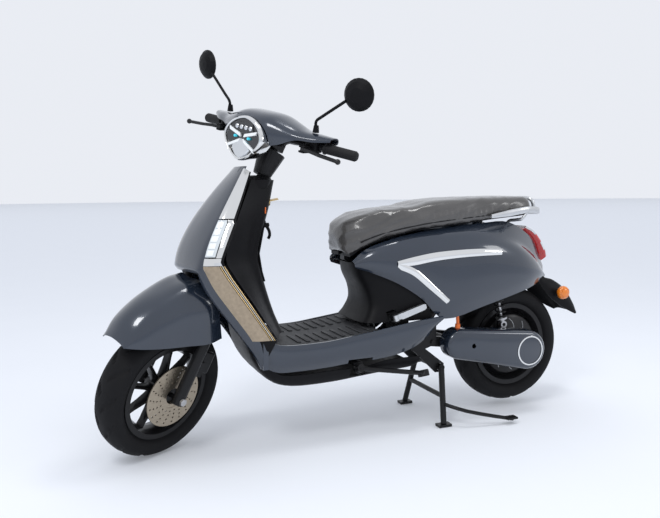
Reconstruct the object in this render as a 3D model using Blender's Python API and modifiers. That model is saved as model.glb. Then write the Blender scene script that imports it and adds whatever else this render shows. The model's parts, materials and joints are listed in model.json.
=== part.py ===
"""A step-through electric moped scooter on its centre stand, with the handlebar turned to the rider's left.

Metres. +X points forward, +Y to the rider's left, +Z up. Pieces are drawn with the rear axle above the
origin and the steering straight, then the empties on the joint axes turn and carry them.
"""

import math

import bmesh
import bpy
import numpy as np
from mathutils import Matrix, Vector
from mathutils.bvhtree import BVHTree

# ---------------------------------------------------------------- driving dimensions
GAP = 0.0003  # between pieces that touch
CLEAR = 0.0015  # between pieces that move past each other
WALL = 0.003  # moulded panels

WHEELBASE = 1.375
TYRE_RADIUS = 0.2295  # 110/70-12
TYRE_HALF_WIDTH = 0.055
RIM_FLANGE = 0.1635
RIM_SEAT = 0.150
RIM_HALF_WIDTH = 0.039
REAR_LIFT = 0.0215  # rear tyre above the ground on the centre stand
SPOKES = 9
WHEEL_SIDES = 28

RAKE = math.radians(26)
TRAIL = 0.080
STEER_REST = math.radians(34)
BAR_HALF = 0.345
BAR_RADIUS = 0.011
GRIP_RADIUS = 0.0165
MIRROR_RADIUS = 0.050

LEG_Y = 0.095
SLIDER_RADIUS = 0.020
STANCHION_RADIUS = 0.0145
FORK_TRAVEL = 0.050
AXLE_RADIUS = 0.008
DISC_RADIUS = 0.104
DISC_Y = 0.0655

FRAME_TUBE = 0.014
DOWN_TUBE = 0.021
HEAD_TUBE = 0.030
STEERER = 0.0155
SWING_PIVOT = (0.396, 0.309)  # X and Z
SWING_ARM_Y = 0.085
COVER_Y = (0.104, 0.167)
SHOCK_Y = 0.085
SHOCK_TOP = (0.125, 0.600)
SHOCK_LOW = (0.070, 0.345)

STAND_PIVOT = (0.350, 0.205)
STAND_TUBE = 0.012
STAND_FOOT = (0.371, 0.151)  # X and Y of a foot on the ground

REAR_AXLE_Z = TYRE_RADIUS + REAR_LIFT
COLLECTION = "moped_scooter"

for old in list(bpy.data.objects):
    bpy.data.objects.remove(old)


# ---------------------------------------------------------------- helpers
def new_collection(name):
    made = bpy.data.collections.new(name)
    bpy.context.scene.collection.children.link(made)
    return made


PARTS = new_collection(COLLECTION)


def material(name, color, roughness, metallic=0.0):
    made = bpy.data.materials.new(name)
    made.use_nodes = True
    shader = made.node_tree.nodes["Principled BSDF"]
    shader.inputs["Base Color"].default_value = (*color, 1.0)
    shader.inputs["Roughness"].default_value = roughness
    shader.inputs["Metallic"].default_value = metallic
    return made


PAINT = material("body_paint", (0.075, 0.095, 0.13), 0.25, 0.3)
BLACK = material("black_plastic", (0.018, 0.018, 0.02), 0.5)
STEEL = material("black_steel", (0.02, 0.02, 0.022), 0.4, 0.4)
ALLOY = material("black_alloy", (0.02, 0.02, 0.022), 0.35, 0.6)
RUBBER = material("tyre_rubber", (0.02, 0.02, 0.02), 0.75)
CHROME = material("chrome", (0.8, 0.8, 0.78), 0.12, 1.0)
SILVER = material("silver_alloy", (0.62, 0.63, 0.65), 0.3, 0.9)
DISC_STEEL = material("disc_steel", (0.42, 0.39, 0.33), 0.35, 1.0)
CLEAR_LENS = material("clear_lens", (0.75, 0.78, 0.8), 0.1)
RED_LENS = material("red_lens", (0.55, 0.02, 0.02), 0.15)
AMBER = material("amber_lens", (0.75, 0.22, 0.02), 0.2)
SEAT_FILM = material("seat_film", (0.16, 0.155, 0.155), 0.3)
ORANGE = material("orange_cable", (0.85, 0.22, 0.03), 0.5)
FLOOR_MAT = material("floor_mat", (0.05, 0.053, 0.058), 0.6)
CASE = material("battery_case", (0.04, 0.04, 0.045), 0.45)


def link(name, mesh):
    made = bpy.data.objects.new(name, mesh)
    PARTS.objects.link(made)
    return made


def baked(item):
    """The object as its modifiers leave it, as one closed mesh with its faces pointing out."""
    bpy.context.view_layer.update()
    graph = bpy.context.evaluated_depsgraph_get()
    mesh = bpy.data.meshes.new_from_object(item.evaluated_get(graph), depsgraph=graph)
    work = bmesh.new()
    work.from_mesh(mesh)
    bmesh.ops.remove_doubles(work, verts=work.verts, dist=2e-6)
    loose = [edge for edge in work.edges if not edge.link_faces]
    bmesh.ops.delete(work, geom=loose, context="EDGES")
    bmesh.ops.recalc_face_normals(work, faces=work.faces)
    work.to_mesh(mesh)
    work.free()
    place = item.matrix_world.copy()
    name = item.name
    bpy.data.objects.remove(item)
    made = link(name, mesh)
    made.matrix_world = place
    return made


def combined(target, tools, operation):
    for tool in tools:
        step = target.modifiers.new("Boolean", "BOOLEAN")
        step.operation = operation
        step.solver = "EXACT"
        step.object = tool
    done = baked(target)
    for tool in tools:
        bpy.data.objects.remove(tool)
    return done


def union(target, *tools):
    return combined(target, tools, "UNION")


def cut(target, *tools):
    return combined(target, tools, "DIFFERENCE")


def turned_to(direction):
    """A rotation that takes +Z to the direction."""
    return Vector((0, 0, 1)).rotation_difference(Vector(direction)).to_matrix().to_4x4()


def cylinder(name, start, end, radius, sides=16, end_radius=None):
    start, end = Vector(start), Vector(end)
    mesh = bpy.data.meshes.new(name)
    work = bmesh.new()
    far = radius if end_radius is None else end_radius
    bmesh.ops.create_cone(
        work, cap_ends=True, segments=sides, radius1=radius, radius2=far, depth=(end - start).length
    )
    work.to_mesh(mesh)
    work.free()
    made = link(name, mesh)
    made.matrix_world = Matrix.Translation((start + end) / 2) @ turned_to(end - start)
    return made


def block(name, center, size, rotation=None, bevel=0.0):
    mesh = bpy.data.meshes.new(name)
    work = bmesh.new()
    bmesh.ops.create_cube(work, size=1.0)
    bmesh.ops.scale(work, vec=Vector(size), verts=work.verts)
    work.to_mesh(mesh)
    work.free()
    made = link(name, mesh)
    made.matrix_world = Matrix.Translation(Vector(center)) @ (rotation or Matrix())
    if bevel:
        edge = made.modifiers.new("Bevel", "BEVEL")
        edge.width = bevel
        edge.segments = 2
    return made


def turned(name, profile, sides=32, closed=True):
    """A profile of (radius, height) turned about Z; an open one starts and ends on the axis."""
    mesh = bpy.data.meshes.new(name)
    count = len(profile)
    links = [(i, (i + 1) % count) for i in range(count if closed else count - 1)]
    mesh.from_pydata([(r, 0, h) for r, h in profile], links, [])
    made = link(name, mesh)
    screw = made.modifiers.new("Screw", "SCREW")
    screw.steps = sides
    screw.render_steps = sides
    screw.use_merge_vertices = True
    screw.merge_threshold = 0.00001
    return baked(made)


def along_y(item, center, flip=False):
    """Stands a turned piece on a crosswise axis: its Z becomes +Y, or -Y."""
    turn = Matrix.Rotation(math.radians(90 if flip else -90), 4, "X")
    item.matrix_world = Matrix.Translation(Vector(center)) @ turn
    return item


def tube(name, points, radius, resolution=3, smooth=True, per_span=3):
    """A bent tube as a mesh with closed ends."""
    route = spline([Vector(p) for p in points], per_span) if smooth else [Vector(p) for p in points]
    curve = bpy.data.curves.new(name, "CURVE")
    curve.dimensions = "3D"
    curve.bevel_depth = radius
    curve.bevel_resolution = resolution - 1
    curve.use_fill_caps = True
    line = curve.splines.new("POLY")
    line.points.add(len(route) - 1)
    for point, place in zip(line.points, route):
        point.co = (*place, 1.0)
    return baked(link(name, curve))


def plate(name, outline, thickness, frame, bevel=0.0):
    """A flat outline of (u, v) points, thick along its own Z, placed by the frame matrix."""
    curve = bpy.data.curves.new(name, "CURVE")
    curve.dimensions = "2D"
    curve.fill_mode = "BOTH"
    curve.extrude = thickness / 2
    line = curve.splines.new("POLY")
    line.points.add(len(outline) - 1)
    for point, (u, v) in zip(line.points, outline):
        point.co = (u, v, 0, 1)
    line.use_cyclic_u = True
    item = link(name, curve)
    item.matrix_world = frame
    made = baked(item)
    if bevel:
        edge = made.modifiers.new("Bevel", "BEVEL")
        edge.width = bevel
        edge.segments = 2
        made = baked(made)
    return made


def spline(points, per_span, corners=()):
    """Points along a smooth curve through the given points, with sharp turns at the corners."""
    last = len(points) - 1
    route = []
    for i in range(last):
        a, b = points[i], points[i + 1]
        before = points[i - 1] if i > 0 and i not in corners else 2 * a - b
        after = points[i + 2] if i + 1 < last and i + 1 not in corners else 2 * b - a
        for k in range(per_span):
            t = k / per_span
            route.append(
                0.5 * (2 * a + (b - before) * t + (2 * before - 5 * a + 4 * b - after) * t**2
                       + (3 * a - before - 3 * b + after) * t**3)
            )
    route.append(points[last])
    return route


def net(rows, per_row=1, per_column=1, row_corners=(), column_corners=()):
    """A grid of points on a smooth surface through rows of control points."""
    lines = [spline([Vector(p) for p in row], per_column, column_corners) for row in rows]
    columns = [spline(list(column), per_row, row_corners) for column in zip(*lines)]
    return [list(row) for row in zip(*columns)]


def skin(name, grid, flip=False, keep=lambda row, column: True):
    """An open surface through a grid of points."""
    width = len(grid[0])
    faces = []
    for r in range(len(grid) - 1):
        for c in range(width - 1):
            if keep(r, c):
                face = (r * width + c, r * width + c + 1, (r + 1) * width + c + 1, (r + 1) * width + c)
                faces.append(face[::-1] if flip else face)
    mesh = bpy.data.meshes.new(name)
    mesh.from_pydata([tuple(p) for row in grid for p in row], [], faces)
    work = bmesh.new()
    work.from_mesh(mesh)
    loose = [v for v in work.verts if not v.link_faces]
    bmesh.ops.delete(work, geom=loose, context="VERTS")
    bmesh.ops.remove_doubles(work, verts=work.verts, dist=1e-5)
    work.to_mesh(mesh)
    work.free()
    return link(name, mesh)


def shell(name, grid, thickness=WALL, flip=False, outward=False, keep=lambda row, column: True):
    """A moulded panel: a surface with a wall behind it."""
    made = skin(name, grid, flip, keep)
    wall = made.modifiers.new("Solidify", "SOLIDIFY")
    wall.thickness = thickness
    wall.offset = 1 if outward else -1
    wall.use_even_offset = True
    return baked(made)


def lofted(name, sections):
    """A closed solid through rings of points of equal count."""
    count = len(sections[0])
    faces = []
    for s in range(len(sections) - 1):
        for i in range(count):
            j = (i + 1) % count
            faces.append((s * count + i, s * count + j, (s + 1) * count + j, (s + 1) * count + i))
    faces.append(tuple(range(count))[::-1])
    faces.append(tuple((len(sections) - 1) * count + i for i in range(count)))
    mesh = bpy.data.meshes.new(name)
    mesh.from_pydata([tuple(p) for ring in sections for p in ring], [], faces)
    return baked(link(name, mesh))


def mirrored(points):
    return [(x, -y, z) for x, y, z in points]


def both_sides(half):
    """A full row from a half row that runs from the centre (y = 0) outwards on +Y."""
    return [(x, y, z) for x, y, z in reversed(half)] + [(x, -y, z) for x, y, z in half[1:]]


def joint(name, location, axis, parent=None):
    """An empty on a joint's axis; its Z is the axis."""
    made = bpy.data.objects.new(name, None)
    PARTS.objects.link(made)
    made.empty_display_size = 0.05
    made.matrix_world = Matrix.Translation(Vector(location)) @ turned_to(axis)
    if parent is not None:
        bpy.context.view_layer.update()
        made.parent = parent
        made.matrix_parent_inverse = parent.matrix_world.inverted()
    bpy.context.view_layer.update()
    return made


def finish(item, name, look, holder):
    """Names a piece, gives it its material and hangs it on its joint's empty."""
    item.name = name
    item.data.name = name
    item.data.materials.clear()
    item.data.materials.append(look)
    item.data.shade_smooth()
    item.data.set_sharp_from_angle(angle=math.radians(32))
    bpy.context.view_layer.update()
    item.parent = holder
    item.matrix_parent_inverse = holder.matrix_world.inverted()
    return item


# ---------------------------------------------------------------- steering geometry
RAKE_DIR = Vector((-math.sin(RAKE), 0, math.cos(RAKE)))
GROUND_POINT = Vector((WHEELBASE + TRAIL, 0, 0))


def steer_point(z, forward=0.0):
    """A point on the steering axis at height z, or ahead of it, square to the axis."""
    on_axis = GROUND_POINT + RAKE_DIR * (z / RAKE_DIR.z)
    return on_axis + Vector((math.cos(RAKE), 0, math.sin(RAKE))) * forward


def tyre_place(width, radius):
    """A width and radius of the drawn 110/70-12 section, fitted to this rim and tread radius."""
    if width > 0.035:
        width = RIM_HALF_WIDTH - 0.0045 + (width - 0.0345) * (TYRE_HALF_WIDTH - RIM_HALF_WIDTH + 0.0045) / 0.0205
    return width, RIM_FLANGE - 0.009 + (radius - 0.1545) * TYRE_GROWTH


def tyre_outline():
    """Half widths and radii of the tread from one bead over the crown to the other."""
    side = [(0.0345, 0.1545), (0.0345, 0.1652), (0.0475, 0.1745), (0.055, 0.190), (0.0515, 0.2085), (0.034, 0.2225)]
    grown = [tyre_place(w, r) for w, r in side]
    crown = [(0.0145, TYRE_RADIUS - 0.0012), (-0.0145, TYRE_RADIUS - 0.0012)]
    return grown + crown + [(-w, r) for w, r in reversed(grown)]


TYRE_GROWTH = (TYRE_RADIUS - RIM_FLANGE) / (0.2295 - 0.1635)
LEAN = math.asin(math.sin(STEER_REST) * math.sin(RAKE))  # the turned wheel leans by this
STEERED_REACH = max(r * math.cos(LEAN) + abs(w) * math.sin(LEAN) for w, r in tyre_outline())


def axle_offset(axle_z):
    """How far the front axle lies ahead of the steering axis."""
    on_axis = GROUND_POINT + RAKE_DIR * (axle_z / RAKE_DIR.z)
    return (WHEELBASE - on_axis.x) * math.cos(RAKE)


FRONT_AXLE_Z = STEERED_REACH
for _ in range(4):
    dip = axle_offset(FRONT_AXLE_Z) * (1 - math.cos(STEER_REST)) * math.sin(RAKE)
    FRONT_AXLE_Z = STEERED_REACH + dip
FRONT_AXLE = Vector((WHEELBASE, 0, FRONT_AXLE_Z))
LEG_OFFSET = axle_offset(FRONT_AXLE_Z)


def leg_point(z, side):
    """A point at height z on a fork leg's centre line."""
    base = FRONT_AXLE + RAKE_DIR * ((z - FRONT_AXLE_Z) / RAKE_DIR.z)
    return Vector((base.x, side * LEG_Y, base.z))


# ---------------------------------------------------------------- joints
ROOT = bpy.data.objects.new("scooter_base", None)
PARTS.objects.link(ROOT)

STEER = joint("steering", steer_point(0.76), RAKE_DIR, ROOT)
FORK = joint("fork_slide", FRONT_AXLE, RAKE_DIR, STEER)
FRONT_SPIN = joint("front_wheel_spin", FRONT_AXLE, (0, 1, 0), FORK)
SWING = joint("swingarm_pivot", (SWING_PIVOT[0], 0, SWING_PIVOT[1]), (0, 1, 0), ROOT)
REAR_AXLE = Vector((0, 0, REAR_AXLE_Z))
REAR_SPIN = joint("rear_wheel_spin", REAR_AXLE, (0, 1, 0), SWING)
SEAT_PIVOT = Vector((0.700, 0, 0.640))
SEAT = joint("seat_hinge", SEAT_PIVOT, (0, 1, 0), ROOT)
C_STAND = joint("centre_stand_pivot", (STAND_PIVOT[0], 0, STAND_PIVOT[1]), (0, 1, 0), ROOT)


# ---------------------------------------------------------------- wheels
def tyre(name, axle, holder):
    outer = tyre_outline()
    half = [tyre_place(0.0275, 0.1545), tyre_place(0.0450, 0.1850), tyre_place(0.0290, 0.2140)]
    inner = half + [(-w, r) for w, r in reversed(half)]
    ring = [(r, w) for w, r in outer] + [(r, w) for w, r in reversed(inner)]
    made = along_y(turned("tyre", ring, WHEEL_SIDES), axle)
    return finish(made, name, RUBBER, holder)


def wheel_barrel():
    """The rim's ring: a flange each side and the seat between them."""
    flange, seat, half = RIM_FLANGE, RIM_SEAT, RIM_HALF_WIDTH
    bead = tyre_outline()[0][1] - CLEAR
    return [
        (flange, half), (flange, half - 0.003), (bead, half - 0.004), (bead - 0.002, 0.018), (bead - 0.010, 0.012),
        (bead - 0.010, -0.012), (bead - 0.002, -0.018), (bead, 0.004 - half), (flange, 0.003 - half),
        (flange, -half), (seat - 0.004, -half), (seat - 0.012, -0.020), (seat - 0.018, 0), (seat - 0.012, 0.020),
        (seat - 0.004, half),
    ]


HUB_HALF = 0.056
barrel = turned("barrel", wheel_barrel(), WHEEL_SIDES)
hub = turned(
    "hub",
    [(AXLE_RADIUS + 0.0006, HUB_HALF), (AXLE_RADIUS + 0.0006, -HUB_HALF), (0.024, -HUB_HALF), (0.034, -0.030),
     (0.036, 0.030), (0.036, HUB_HALF)],
    20,
)
spokes = []
for k in range(SPOKES):
    turn = Matrix.Rotation(2 * math.pi * k / SPOKES, 4, "Z")
    rings = []
    for radius, across, deep in ((0.028, 0.0095, 0.022), (0.080, 0.0065, 0.016), (RIM_SEAT - 0.011, 0.0075, 0.012)):
        ring = [(-across, -deep), (across, -deep), (across * 0.7, deep), (-across * 0.7, deep)]
        rings.append([turn @ Vector((radius, u, v)) for u, v in ring])
    spokes.append(lofted("spoke", rings))
front_rim = union(hub, *spokes)
front_rim = union(barrel, front_rim)
finish(along_y(front_rim, FRONT_AXLE), "front_rim", ALLOY, FRONT_SPIN)
tyre("front_tyre", FRONT_AXLE, FRONT_SPIN)

disc_ring = turned(
    "disc",
    [(0.038, DISC_Y - 0.0022), (0.038, DISC_Y + 0.0022), (DISC_RADIUS, DISC_Y + 0.0022), (DISC_RADIUS, DISC_Y - 0.0022)],
    36,
)
carrier = turned(
    "carrier",
    [(0.027, HUB_HALF + GAP), (0.027, DISC_Y + 0.001), (0.044, DISC_Y + 0.001), (0.044, DISC_Y - 0.001),
     (0.035, HUB_HALF + GAP)],
    36,
)
finish(along_y(union(disc_ring, carrier), FRONT_AXLE), "brake_disc", DISC_STEEL, FRONT_SPIN)

MOTOR_RADIUS = 0.118
rear_hub = turned(
    "rear_hub",
    [(AXLE_RADIUS + 0.0008, 0.060), (AXLE_RADIUS + 0.0008, -0.060), (0.035, -0.060), (0.055, -0.044),
     (MOTOR_RADIUS, -0.040), (MOTOR_RADIUS + 0.006, -0.020), (RIM_SEAT - 0.018, -0.012)]
    + [(r, w) for r, w in reversed(wheel_barrel()[0:10])]
    + [(RIM_SEAT - 0.004, RIM_HALF_WIDTH), (RIM_SEAT - 0.018, 0.012), (MOTOR_RADIUS + 0.006, 0.020),
       (MOTOR_RADIUS, 0.040), (0.055, 0.044), (0.035, 0.060)],
    WHEEL_SIDES,
)
finish(along_y(rear_hub, REAR_AXLE), "rear_hub_motor", ALLOY, REAR_SPIN)
tyre("rear_tyre", REAR_AXLE, REAR_SPIN)

# ---------------------------------------------------------------- fork and brake
SLIDER_TOP = 0.430
YOKE_Z = 0.575
sliders = []
for side in (1, -1):
    foot = leg_point(FRONT_AXLE_Z - 0.014, side)
    sliders.append(cylinder("slider", foot, leg_point(SLIDER_TOP, side), SLIDER_RADIUS, 16))
axle = cylinder("axle", FRONT_AXLE + Vector((0, LEG_Y, 0)), FRONT_AXLE - Vector((0, LEG_Y, 0)), AXLE_RADIUS, 12)
lug = block(
    "caliper_lug", leg_point(0.315, 1) + Vector((-0.030, -0.0010, 0)), (0.040, 0.012, 0.050),
    Matrix.Rotation(-RAKE, 4, "Y"),
)
fork_legs = union(axle, *sliders, lug)
bores = [
    cylinder("bore", leg_point(0.300, side), leg_point(SLIDER_TOP + 0.02, side), STANCHION_RADIUS + 0.0007, 16)
    for side in (1, -1)
]
fork_legs = cut(fork_legs, *bores)
finish(fork_legs, "fork_sliders", STEEL, FORK)

CALIPER = Matrix.Translation(leg_point(0.315, 1) + Vector((-0.074, -0.0225, 0.006))) @ Matrix.Rotation(-RAKE, 4, "Y")
caliper = block("caliper", (0, 0, 0), (0.046, 0.030, 0.074), CALIPER, 0.005)
slot = block("pad_slot", (0, 0, 0), (0.060, 0.0075, 0.1), Matrix.Translation(Vector((0.016, DISC_Y, 0)) + Vector((CALIPER.translation.x, 0, CALIPER.translation.z))) @ Matrix.Rotation(-RAKE, 4, "Y"))
caliper = cut(caliper, slot)
finish(caliper, "brake_caliper", STEEL, FORK)

# ---------------------------------------------------------------- steering column
BAR_Z = 1.062
BAR_CENTER = Vector((0.972, 0, 1.040))
stem = cylinder("steerer", steer_point(YOKE_Z), steer_point(1.030), STEERER, 16)
yoke = plate(
    "yoke",
    [(-0.030, -0.030), (LEG_OFFSET - 0.026, -LEG_Y - 0.024), (LEG_OFFSET + 0.026, -LEG_Y - 0.024),
     (LEG_OFFSET + 0.026, LEG_Y + 0.024), (LEG_OFFSET - 0.026, LEG_Y + 0.024), (-0.030, 0.030)],
    0.024,
    Matrix.Translation(steer_point(YOKE_Z)) @ Matrix.Rotation(-RAKE, 4, "Y"),
)
stanchions = [
    cylinder("stanchion", leg_point(0.300 + FORK_TRAVEL * 1.15, side), leg_point(YOKE_Z + 0.030, side),
             STANCHION_RADIUS, 16)
    for side in (1, -1)
]
clamp = block("bar_clamp", BAR_CENTER + Vector((-0.012, 0, -0.012)), (0.060, 0.050, 0.034), Matrix.Rotation(-RAKE, 4, "Y"))
neck = cylinder("neck", steer_point(0.922), steer_point(1.000), 0.031, 24, 0.048)
steering_stem = union(yoke, stem, clamp, neck, *stanchions)
bar_seat = cylinder("bar_seat", BAR_CENTER + Vector((0, 0.05, 0)), BAR_CENTER - Vector((0, 0.05, 0)), BAR_RADIUS + GAP, 16)
steering_stem = cut(steering_stem, bar_seat)
finish(steering_stem, "steering_stem", STEEL, STEER)

GRIP_IN = Vector((0.981, 0.230, BAR_Z))
GRIP_OUT = Vector((0.954, BAR_HALF, BAR_Z - 0.005))
GRIP_DIR = (GRIP_OUT - GRIP_IN).normalized()
bar_half = [
    BAR_CENTER, BAR_CENTER + Vector((0, 0.027, 0)), BAR_CENTER + Vector((0, 0.048, 0)),
    Vector((0.992, 0.098, BAR_Z)), Vector((0.992, 0.150, BAR_Z)), GRIP_IN, GRIP_OUT - GRIP_DIR * 0.006,
]
bar_route = [Vector((p.x, -p.y, p.z)) for p in reversed(bar_half)] + bar_half[1:]
finish(tube("handlebar", bar_route, BAR_RADIUS, 3, per_span=2), "handlebar", STEEL, STEER)


def side_of(point, side):
    return Vector((point.x, side * point.y, point.z))


def grip(side):
    """A rubber sleeve with a closed outer end."""
    start = side_of(GRIP_IN + GRIP_DIR * 0.004, side)
    end = side_of(GRIP_OUT, side)
    inner, length = BAR_RADIUS + 0.0006, (end - start).length
    profile = [
        (inner, 0), (GRIP_RADIUS + 0.003, 0), (GRIP_RADIUS + 0.003, 0.005), (GRIP_RADIUS, 0.007),
        (GRIP_RADIUS, length - 0.006), (GRIP_RADIUS - 0.004, length), (0, length), (0, length - 0.005),
        (inner, length - 0.005),
    ]
    made = turned("grip", profile, 20)
    made.matrix_world = Matrix.Translation(start) @ turned_to(end - start)
    return made


THROTTLE = joint("throttle_twist", side_of(GRIP_IN, -1), side_of(GRIP_DIR, -1), STEER)
finish(grip(1), "left_grip", RUBBER, STEER)
finish(grip(-1), "throttle_grip", RUBBER, THROTTLE)

LEVER_PIVOT = Vector((1.036, 0.192, BAR_Z - 0.010))
LEVER_TIP = Vector((1.046, 0.340, BAR_Z - 0.018))
LEVER_HALF = 0.005
for side, word in ((1, "left"), (-1, "right")):
    middle = side_of(Vector((0.989, 0.195, BAR_Z)), side)
    body = block("switch_body", middle, (0.042, 0.046, 0.040), bevel=0.006)
    arm = block("lever_arm", side_of(Vector((1.020, 0.190, BAR_Z - 0.010)), side), (0.052, 0.022, 0.024), bevel=0.003)
    housing = union(body, arm)
    bend = side_of(bar_half[4], side)
    way = (side_of(GRIP_IN, side) - bend) * 2
    hole = cylinder("bar_hole", bend - way, side_of(GRIP_IN, side) + way, BAR_RADIUS + 0.0024, 20)
    pocket = block(
        "lever_pocket", side_of(LEVER_PIVOT + Vector((0.006, 0.004, 0)), side),
        (0.038, 0.060, 2 * LEVER_HALF + 2 * GAP + 0.0004),
    )
    housing = cut(housing, hole, pocket)
    pin = cylinder(
        "lever_pin", side_of(LEVER_PIVOT, side) - Vector((0, 0, 0.011)), side_of(LEVER_PIVOT, side) + Vector((0, 0, 0.011)),
        0.003, 12,
    )
    housing = union(housing, pin)
    name = "switch_housing_" + word
    if side > 0:
        horn_hole = cylinder("horn_hole", middle - Vector((0.030, 0, 0.006)), middle - Vector((0.0145, 0, 0.006)), 0.0066, 16)
        slider_hole = block("slider_hole", middle + Vector((-0.022, 0, 0.008)), (0.016, 0.026, 0.009))
        housing = cut(housing, horn_hole, slider_hole)
    finish(housing, name, BLACK, STEER)

    pivot = joint("brake_lever_" + word + "_pivot", side_of(LEVER_PIVOT, side), (0, 0, side), STEER)
    blade = lofted(
        "blade",
        [
            [side_of(Vector((x - w, y, z + LEVER_HALF)), side), side_of(Vector((x + w, y, z + LEVER_HALF)), side),
             side_of(Vector((x + w, y, z - LEVER_HALF)), side), side_of(Vector((x - w, y, z - LEVER_HALF)), side)]
            for x, y, z, w in (
                (LEVER_PIVOT.x, LEVER_PIVOT.y - 0.007, LEVER_PIVOT.z, 0.0075),
                (LEVER_PIVOT.x + 0.004, LEVER_PIVOT.y + 0.030, LEVER_PIVOT.z, 0.0075),
                (LEVER_PIVOT.x + 0.010, LEVER_PIVOT.y + 0.075, LEVER_PIVOT.z - 0.004, 0.0055),
                (LEVER_TIP.x, LEVER_TIP.y - 0.004, LEVER_TIP.z, 0.0050),
            )
        ],
    )
    ball_mesh = bpy.data.meshes.new("ball")
    ball_work = bmesh.new()
    bmesh.ops.create_uvsphere(ball_work, u_segments=12, v_segments=8, radius=0.009)
    ball_work.to_mesh(ball_mesh)
    ball_work.free()
    ball = link("ball", ball_mesh)
    ball.location = side_of(LEVER_TIP, side)
    lever = union(blade, ball)
    pin_hole = cylinder(
        "pin_hole", side_of(LEVER_PIVOT, side) - Vector((0, 0, 0.02)), side_of(LEVER_PIVOT, side) + Vector((0, 0, 0.02)),
        0.0036, 12,
    )
    lever = cut(lever, pin_hole)
    finish(lever, "brake_lever_" + word, SILVER if side < 0 else STEEL, pivot)
    if side > 0:
        horn_at = middle - Vector((0.026, 0, 0.006))
        horn_slide = joint("horn_press", horn_at, (1, 0, 0), STEER)
        horn = cylinder("horn", middle - Vector((0.026, 0, 0.006)), middle - Vector((0.0185, 0, 0.006)), 0.0058, 14)
        finish(horn, "horn_button", AMBER, horn_slide)
        signal_at = middle + Vector((-0.0255, 0, 0.008))
        signal_slide = joint("signal_slide", signal_at, (0, 1, 0), STEER)
        knob = block("knob", middle + Vector((-0.0205, 0, 0.008)), (0.0115, 0.010, 0.0078))
        finish(knob, "signal_switch", BLACK, signal_slide)

# ---------------------------------------------------------------- handlebar cowl, headlight, mirrors
COWL_STATIONS = (  # Y, centre X and Z, half depth, half height, angle of the front lower edge
    (0.000, 1.012, 1.080, 0.088, 0.062, -38), (0.060, 1.010, 1.079, 0.086, 0.060, -38),
    (0.110, 1.003, 1.075, 0.072, 0.048, -26), (0.162, 0.994, 1.072, 0.054, 0.034, 2),
    (0.215, 0.984, 1.076, 0.042, 0.026, 2), (0.262, 0.972, 1.086, 0.022, 0.013, 0),
)
COWL_ANGLES = (25, 60, 90, 120, 155, 188, 218)  # on over the top to the rear lower edge


def cowl_ring(y, x, z, deep, high, first):
    ring = []
    for angle in (first, (first + 25) / 2, *COWL_ANGLES):
        turn = math.radians(angle)
        c, s = math.cos(turn), math.sin(turn)
        ring.append((x + deep * math.copysign(abs(c) ** 0.8, c), y, z + high * math.copysign(abs(s) ** 0.8, s)))
    return ring


cowl_half = [cowl_ring(*station) for station in COWL_STATIONS]
cowl_rows = [mirrored(ring) for ring in reversed(cowl_half)] + cowl_half[1:]
cowl = shell("cowl", net(cowl_rows, per_row=1, per_column=1), WALL, flip=True)
HEAD_FRONT = Vector((1.118, 0, 1.052))  # middle of the headlight's face
HEAD_TILT = Matrix.Rotation(math.radians(-6), 4, "Y")
HEAD_HALF = (0.086, 0.074)  # half width and half height


def head_ring(depth, scale, drop=0.0):
    """The headlight's six-sided outline with round corners, a distance behind its face."""
    ring = []
    for k in range(18):
        turn = 2 * math.pi * k / 18
        pull = 1 / (abs(math.cos(turn)) ** 1.5 + abs(math.sin(turn)) ** 1.5) ** (1 / 2.3)
        u = HEAD_HALF[0] * scale * pull * math.cos(turn)
        v = HEAD_HALF[1] * scale * pull * math.sin(turn) * (0.98 if math.sin(turn) > 0 else 1.0)
        ring.append(HEAD_FRONT + HEAD_TILT @ Vector((-depth, u, v - drop)))
    return ring


headlight = lofted(
    "headlight", [head_ring(-0.010, 0.62), head_ring(0.0, 0.90), head_ring(0.012, 1.0), head_ring(0.060, 0.86, 0.002)]
)
finish(headlight, "headlight", CHROME, STEER)
head_room = lofted("head_room", [head_ring(-0.03, 1.03), head_ring(0.012, 1.03), head_ring(0.064, 0.90)])
cowl = cut(cowl, head_room)
finish(cowl, "handlebar_cowl", PAINT, STEER)

for side, word in ((1, "left"), (-1, "right")):
    foot = side_of(Vector((0.990, 0.196, 1.1060)), side)
    swivel = joint("mirror_" + word + "_swivel", foot, (0, 0, 1), STEER)
    boot = cylinder("boot", foot, foot + Vector((0.002, 0, 0.022)), 0.011, 12, 0.008)
    route = [side_of(Vector(p), side) for p in
             ((0.992, 0.196, 1.120), (0.998, 0.198, 1.142), (0.999, 0.222, 1.162), (0.996, 0.300, 1.222))]
    stalk = tube("stalk", route, 0.005, 2, per_span=3)
    face = side_of(Vector((0.990, 0.338, 1.246)), side)
    look = Vector((-0.97, -0.17 * side, 0.08)).normalized()  # the glass looks back and a little inwards
    head = turned(
        "head",
        [(0, -0.016), (0.022, -0.014), (0.040, -0.007), (MIRROR_RADIUS, 0.003), (MIRROR_RADIUS, 0.008), (0, 0.008)],
        24, closed=False,
    )
    head.matrix_world = Matrix.Translation(face) @ turned_to(look)
    finish(union(head, stalk, boot), "mirror_" + word, BLACK, swivel)

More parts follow.
